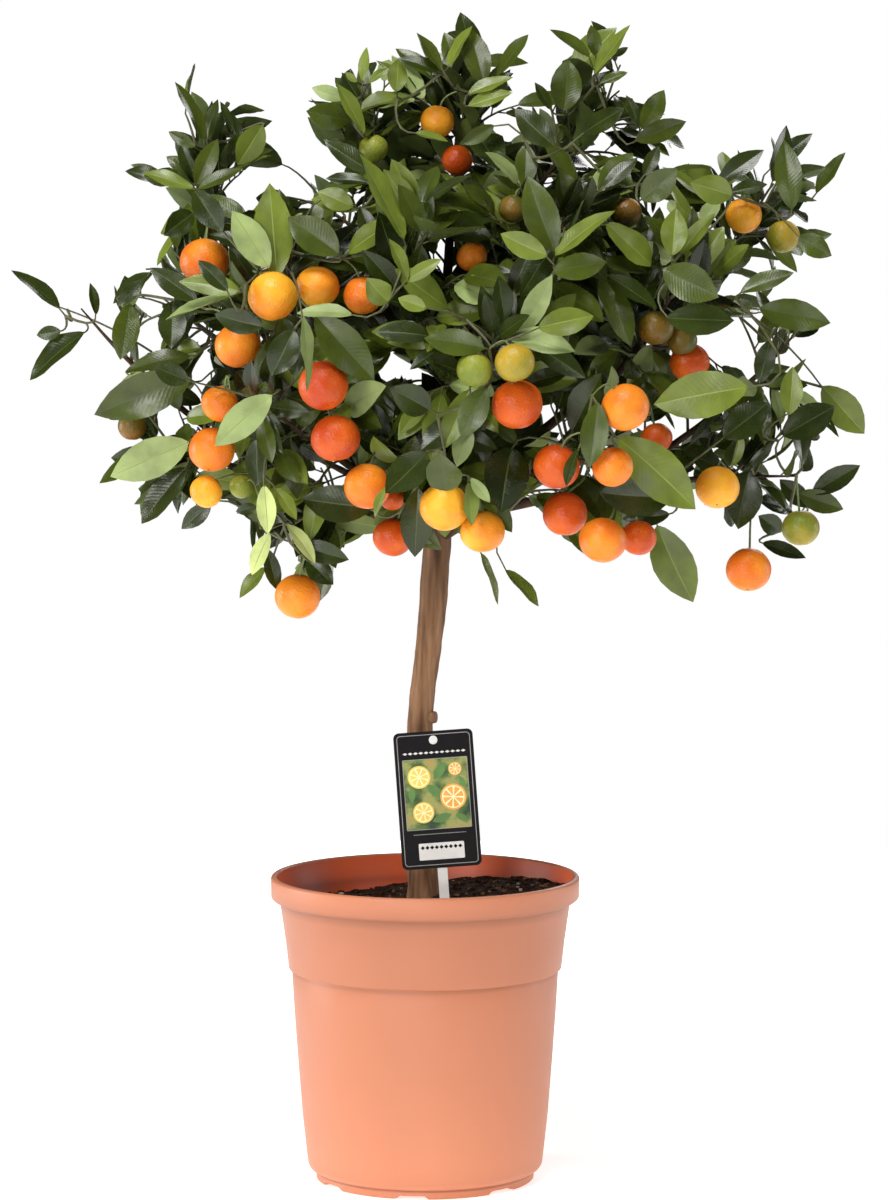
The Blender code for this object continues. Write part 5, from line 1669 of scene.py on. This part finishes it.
def make_pot():
    """The pot, with shallow notches in its foot ring."""
    outline = pot_outline()
    rings = outline[1:-1]

    def notch(ring, angle):
        radius, height = rings[ring]
        if height > FOOT_HEIGHT or radius < FOOT_RADIUS:
            return 0.0
        turn = (angle / (2.0 * math.pi) * NOTCH_COUNT - NOTCH_TURN + 0.5) % 1.0
        edge = abs(turn - 0.5) / (NOTCH_SHARE / 2.0)
        ease = min(1.0, max(0.0, (1.0 - edge) / NOTCH_EASE))
        return NOTCH_HEIGHT * ease * ease * (3.0 - 2.0 * ease)

    verts, faces = lathe(outline, POT_SIDES, notch)
    inside = len(rings) - INSIDE_RINGS
    looks = []
    for face in faces:
        first_ring = (min(corner for corner in face if corner) - 1) // POT_SIDES
        looks.append(1 if first_ring >= inside else 0)
    pot = Shapes()
    pot.add(verts, faces, looks)
    # The inside rings take the deeper red copy of the plastic, which is painted shade of the pot's
    # inside.
    pot.piece("plastic_pot", [pot_look("pot_plastic", POT_COLOUR), pot_look("pot_inside_painted_shade", POT_INSIDE_PAINTED_SHADE)],
              35.0, ["pot"])


def soil_height(x, y):
    """Height of the soil's lumpy surface, in metres."""
    place = Vector((x, y, 0.0))
    lumps = noise.fractal(place * 60.0, 1.0, 2.0, 4) * 2.4 * MM
    grit = noise.noise(place * 420.0) * 0.8 * MM
    middle = max(0.0, 1.0 - place.length / SOIL_RADIUS)
    return SOIL_LEVEL + (lumps + grit + SOIL_MOUND * middle ** 0.7 + SOIL_SLOPE * x)


def make_soil():
    """Filled inside of the pot with a lumpy top, and loose crumbs of peat and bark."""
    soil = Shapes()
    soil.add(*soil_body(), 0)
    dice = random.Random(SEED + 1)
    for index in range(CRUMBS):
        radius = SOIL_RADIUS * math.sqrt(dice.random()) * CRUMB_EDGE
        angle = dice.uniform(0.0, 2.0 * math.pi)
        x, y = radius * math.cos(angle), radius * math.sin(angle)
        size = dice.uniform(*CRUMB_SIZES) * MM * (1.5 if index % 14 == 0 else 1.0)
        place = Vector((x, y, soil_height(x, y) + size * 0.3))
        add_crumb(soil, place, size, dice, 1 + (index % 9 == 0) + 2 * (index % 31 == 0))
    soil.piece("potting_soil", soil_looks(), 50.0, ["soil"])


def soil_body():
    """Corners and faces of the soil's top, its walls and its flat underside."""
    verts = [(0.0, 0.0, soil_height(0.0, 0.0))]
    faces = fan(0, 1, SOIL_SIDES)
    for ring in range(1, SOIL_RINGS + 1):
        if ring > 1:
            faces += flipped(band(len(verts) - SOIL_SIDES, len(verts), SOIL_SIDES))
        for across, along, _ in circle(1.0, 0.0, SOIL_SIDES):
            edge = SOIL_RADIUS * (1.0 + SOIL_FLARE * SOIL_SLOPE * max(across, 0.0))
            x, y = edge * across * ring / SOIL_RINGS, edge * along * ring / SOIL_RINGS
            verts.append((x, y, soil_height(x, y)))
    for radius, height in SOIL_WALL:
        faces += flipped(band(len(verts) - SOIL_SIDES, len(verts), SOIL_SIDES))
        verts += circle(radius * MM, height * MM, SOIL_SIDES)
    faces.append(tuple(reversed(range(len(verts) - SOIL_SIDES, len(verts)))))
    return verts, faces


def soil_looks():
    """The soil's own look, then those of its crumbs."""
    peat = plain_look("peat_crumb", (0.042, 0.019, 0.010), 0.95, 600.0, 0.4, Specular_IOR_Level=0.1)
    chip = plain_look("bark_chip", (0.16, 0.075, 0.035), 0.9, 600.0, 0.3)
    perlite = plain_look("perlite", (0.46, 0.38, 0.30), 0.9, 600.0, 0.2)
    fibre = plain_look("root_fibre", (0.26, 0.15, 0.08), 0.9, 600.0, 0.3)
    return [soil_look(), peat, chip, perlite, fibre]


def add_crumb(shapes, place, size, dice, look):
    """An uneven lump with eight corners."""
    verts = []
    spin = Matrix.Rotation(dice.uniform(0.0, 6.28), 3, "Z")
    spin = spin @ Matrix.Rotation(dice.uniform(-0.6, 0.6), 3, "X")
    stretch = Vector((dice.uniform(0.7, 1.6), dice.uniform(0.6, 1.1), dice.uniform(0.4, 0.9)))
    for x in (-1, 1):
        for y in (-1, 1):
            for z in (-1, 1):
                corner = Vector((x, y, z)) * 0.58 * dice.uniform(0.7, 1.15)
                corner = Vector([corner[axis] * stretch[axis] * size for axis in range(3)])
                verts.append(tuple(place + spin @ corner))
    faces = [(0, 1, 3, 2), (4, 6, 7, 5), (0, 4, 5, 1), (2, 3, 7, 6), (0, 2, 6, 4), (1, 5, 7, 3)]
    shapes.add(verts, faces, look)


# Label

CARD_WIDTH = 57.0
CARD_HEIGHT = 98.0
CARD_THICKNESS = 0.8
CARD_CORNER = 4.0
CARD_CENTRE = Vector((9.0, -42.0, 283.0)) * MM
CARD_LEAN = math.radians(-4.2)
CARD_TILT = math.radians(-10.0)
LINE_WIDTH = 0.45
LINE_INSET = 2.2
INK_DEPTH = 0.05
PICTURE_WIDTH = 46.0
PICTURE_HEIGHT = 50.0
PICTURE_MIDDLE = (0.0, 4.0)

# The card's looks by their place in its list, and those of its inks with the spread of their tone.
BLACK, PALE, GROUND, YELLOW, ORANGE, GREEN, LIGHT, LINE = range(8)
INKS = (
    ("print_yellow", (0.87, 0.62, 0.10), 0.12), ("print_orange", (0.86, 0.40, 0.06), 0.12),
    ("print_green", (0.10, 0.22, 0.05), 0.2), ("print_light", (0.93, 0.86, 0.50), 0.08),
)

# Rows of marks: count, length and height of a mark, depth over the card, look and middle.
MARK_ROWS = (
    (12, 3.4, 1.9, 0.0, PALE, (0.0, 33.6)),
    (26, 1.3, 0.7, 0.0, LINE, (0.0, -24.6)),
    (9, 3.0, 3.0, 0.04, BLACK, (0.5, -34.2)),
)

# Slices in the picture: middle, radius and look. Its leaves: middle, length, width and turn.
SLICES = ((-12.0, 12.5, 8.2, YELLOW), (11.5, -3.0, 9.4, ORANGE),
          (-10.5, -13.0, 7.6, YELLOW), (14.0, 17.0, 4.8, ORANGE))
PRINTED_LEAVES = (
    (3.0, 16.0, 15.0, 6.5, 0.9), (-1.0, 1.5, 16.0, 6.8, 2.4), (2.5, -17.5, 15.0, 6.0, 0.3),
    (-18.0, 0.0, 11.0, 5.0, 1.5), (18.5, 7.5, 9.0, 4.4, 2.0), (16.5, -18.0, 10.0, 4.6, 2.6),
)
SLICE_STEPS = 28
WEDGES = 8
PEG_HEIGHT = 42.5
PEG_RADIUS = 2.2
PEG_HEAD = 3.1
STICK_WIDTH = 7.0
STICK_THICKNESS = 1.6
STICK_TOP = 46.0
STICK_BOTTOM = -106.0
GAP = 0.3


def card_point(across, depth, up):
    """The place in the scene of a point in the label's plane, given in millimetres."""
    lean = Matrix.Rotation(CARD_LEAN, 4, "Y")
    tilt = Matrix.Rotation(CARD_TILT, 4, "X")
    place = Matrix.Translation(CARD_CENTRE) @ lean @ tilt
    return tuple(place @ (Vector((across, depth, up)) * MM))


def rounded(width, height, corner, steps=6):
    """Outline of a rectangle with round corners, its middle at the origin."""
    outline = []
    for quarter, (side_x, side_z) in enumerate(((1, 1), (-1, 1), (-1, -1), (1, -1))):
        middle = (side_x * (width / 2.0 - corner), side_z * (height / 2.0 - corner))
        outline += arc(middle, corner, 90.0 * quarter, 90.0 * (quarter + 1), steps)
    return outline


def add_plate(shapes, outline, low, high, look, middle=(0.0, 0.0), bevel=0.0):
    """A flat plate in the label's plane from low to high along its depth, with bevelled front."""
    count = len(outline)
    layers = [(high, 0.0), (low + bevel, 0.0), (low, bevel)] if bevel else [(high, 0.0), (low, 0.0)]
    verts = []
    for depth, inset in layers:
        for x, z in outline:
            size = math.hypot(x, z) or 1.0
            across = middle[0] + x - inset * x / size
            verts.append(card_point(across, depth, middle[1] + z - inset * z / size))
    back = len(verts) - count
    faces = [tuple(reversed(range(count))), tuple(range(back, len(verts)))]
    for base in range(0, back, count):
        faces += band(base, base + count, count)
    shapes.add(verts, faces, look)


def add_frame(shapes, width, height, corner, line, low, high, look, middle=(0.0, 0.0)):
    """A thin closed frame."""
    outer = rounded(width, height, corner)
    inner = rounded(width - 2.0 * line, height - 2.0 * line, max(corner - line, 0.1))
    count = len(outer)
    verts = [card_point(middle[0] + x, depth, middle[1] + z)
             for depth in (low, high) for ring in (outer, inner) for x, z in ring]
    faces = band(0, count, count) + flipped(band(2 * count, 3 * count, count))
    faces += flipped(band(0, 2 * count, count)) + band(count, 3 * count, count)
    shapes.add(verts, faces, look)


def leaf_outline(length, width, turn):
    """A pointed leaf shape, turned in its plane."""
    points = []
    for side in (1.0, -1.0):
        steps = range(9) if side > 0 else range(7, 0, -1)
        for step in steps:
            share = step / 8.0
            x = (share - 0.5) * length
            z = side * width / 2.0 * math.sin(math.pi * share) ** 0.8 if 0 < step < 8 else 0.0
            along = x * math.cos(turn) - z * math.sin(turn)
            points.append((along, x * math.sin(turn) + z * math.cos(turn)))
    return points


def make_label():
    """A black card with a plain printed picture of sliced fruit, on a white stick."""
    half = CARD_THICKNESS / 2.0
    ink = -half - INK_DEPTH
    base = -half + 0.1
    card = Shapes()
    add_plate(card, rounded(CARD_WIDTH, CARD_HEIGHT, CARD_CORNER), -half, half, BLACK, bevel=0.2)
    inner = (CARD_WIDTH - 2.0 * LINE_INSET, CARD_HEIGHT - 2.0 * LINE_INSET)
    add_frame(card, *inner, 2.6, LINE_WIDTH, ink, base, LINE)
    panel = rounded(PICTURE_WIDTH, PICTURE_HEIGHT, 0.6, 2)
    add_plate(card, panel, ink, base, GROUND, PICTURE_MIDDLE)
    edge = (PICTURE_WIDTH + 0.6, PICTURE_HEIGHT + 0.6)
    add_frame(card, *edge, 0.8, 0.35, ink - 0.02, base, LINE, PICTURE_MIDDLE)
    print_picture(card, ink)
    add_plate(card, rounded(32.5, 12.0, 0.8, 2), ink, base, PALE, (0.5, -37.0))
    for count, length, height, over, look, middle in MARK_ROWS:
        add_marks(card, count, length, height, ink - over, look, middle)
    card.piece("plant_label", label_looks(), 35.0, ["label_card"])
    make_stick(half)


def label_looks():
    """Looks of the card, its lines and its inks."""
    black = plain_look("card_black", (0.008, 0.007, 0.008), 0.45, Specular_IOR_Level=0.12)
    pale = plain_look("card_pale", (0.72, 0.70, 0.66), 0.5)
    inks = [plain_look(name, colour, 0.45, 400.0, spread) for name, colour, spread in INKS]
    return [black, pale, picture_look(), *inks, plain_look("card_line", (0.36, 0.34, 0.32), 0.5)]


def add_marks(card, count, length, height, ink, look, middle):
    """A row of small lozenges, where a card has its words."""
    outline = [(length / 2.0, 0.0), (0.0, height / 2.0), (-length / 2.0, 0.0), (0.0, -height / 2.0)]
    for index in range(count):
        across = (index - (count - 1) / 2.0) * length * 1.12
        add_plate(card, outline, ink - 0.02, ink + 0.1, look, (middle[0] + across, middle[1]))


def print_picture(card, ink):
    """Round slices and leaves, scattered in the picture's panel."""
    for index, (x, z, radius, look) in enumerate(SLICES):
        middle = (PICTURE_MIDDLE[0] + x, PICTURE_MIDDLE[1] + z)
        add_plate(card, disc(radius, SLICE_STEPS), ink - 0.06, ink + 0.02, look, middle)
        add_plate(card, disc(radius * 0.86, SLICE_STEPS), ink - 0.09, ink, LIGHT, middle)
        for wedge in range(WEDGES):
            turn = wedge * 360.0 / WEDGES + index * 17.0
            tip = math.radians(turn)
            shape = [(radius * 0.10 * math.cos(tip), radius * 0.10 * math.sin(tip))]
            shape += arc((0.0, 0.0), radius * 0.78, turn - 17.0, turn + 17.0, 5)
            add_plate(card, shape, ink - 0.12, ink - 0.02, look, middle)
    for x, z, length, width, turn in PRINTED_LEAVES:
        middle = (PICTURE_MIDDLE[0] + x, PICTURE_MIDDLE[1] + z)
        add_plate(card, leaf_outline(length, width, turn), ink - 0.04, ink + 0.02, GREEN, middle)


def disc(radius, steps):
    """Outline of a round plate, its middle at the origin."""
    return arc((0.0, 0.0), radius, 0, 360 - 360 / steps, steps - 1)


def picture_look():
    """A soft ground of greens and yellows."""
    look = Look("print_ground", (0.45, 0.50, 0.16), 0.42)
    stops = ((0.34, (0.015, 0.045, 0.012)), (0.46, (0.08, 0.14, 0.03)),
             (0.58, (0.30, 0.32, 0.09)), (0.72, (0.50, 0.26, 0.06)))
    look.paint(look.ramp(look.cloud(75.0, 3.0), stops))
    return look.material


def make_stick(half):
    """The white stick behind the card, and the peg with a round head that holds the card to it."""
    front = half + GAP
    stick = Shapes()
    side = STICK_WIDTH / 2.0
    strip = [(side, STICK_TOP), (-side, STICK_TOP), (-side, STICK_BOTTOM), (side, STICK_BOTTOM)]
    add_plate(stick, strip, front, front + STICK_THICKNESS, 0, bevel=0.25)
    middle = (0.0, PEG_HEIGHT)
    add_plate(stick, disc(PEG_RADIUS, 24), -front - 0.5, front + 1.0, 0, middle)
    add_plate(stick, disc(PEG_HEAD, 30), -front - 1.0, -front + 0.2, 0, middle, bevel=0.3)
    look = plain_look("stick_white", (0.78, 0.77, 0.73), 0.36)
    stick.piece("label_stick_white", [look], 35.0, ["label_stick"])


main()
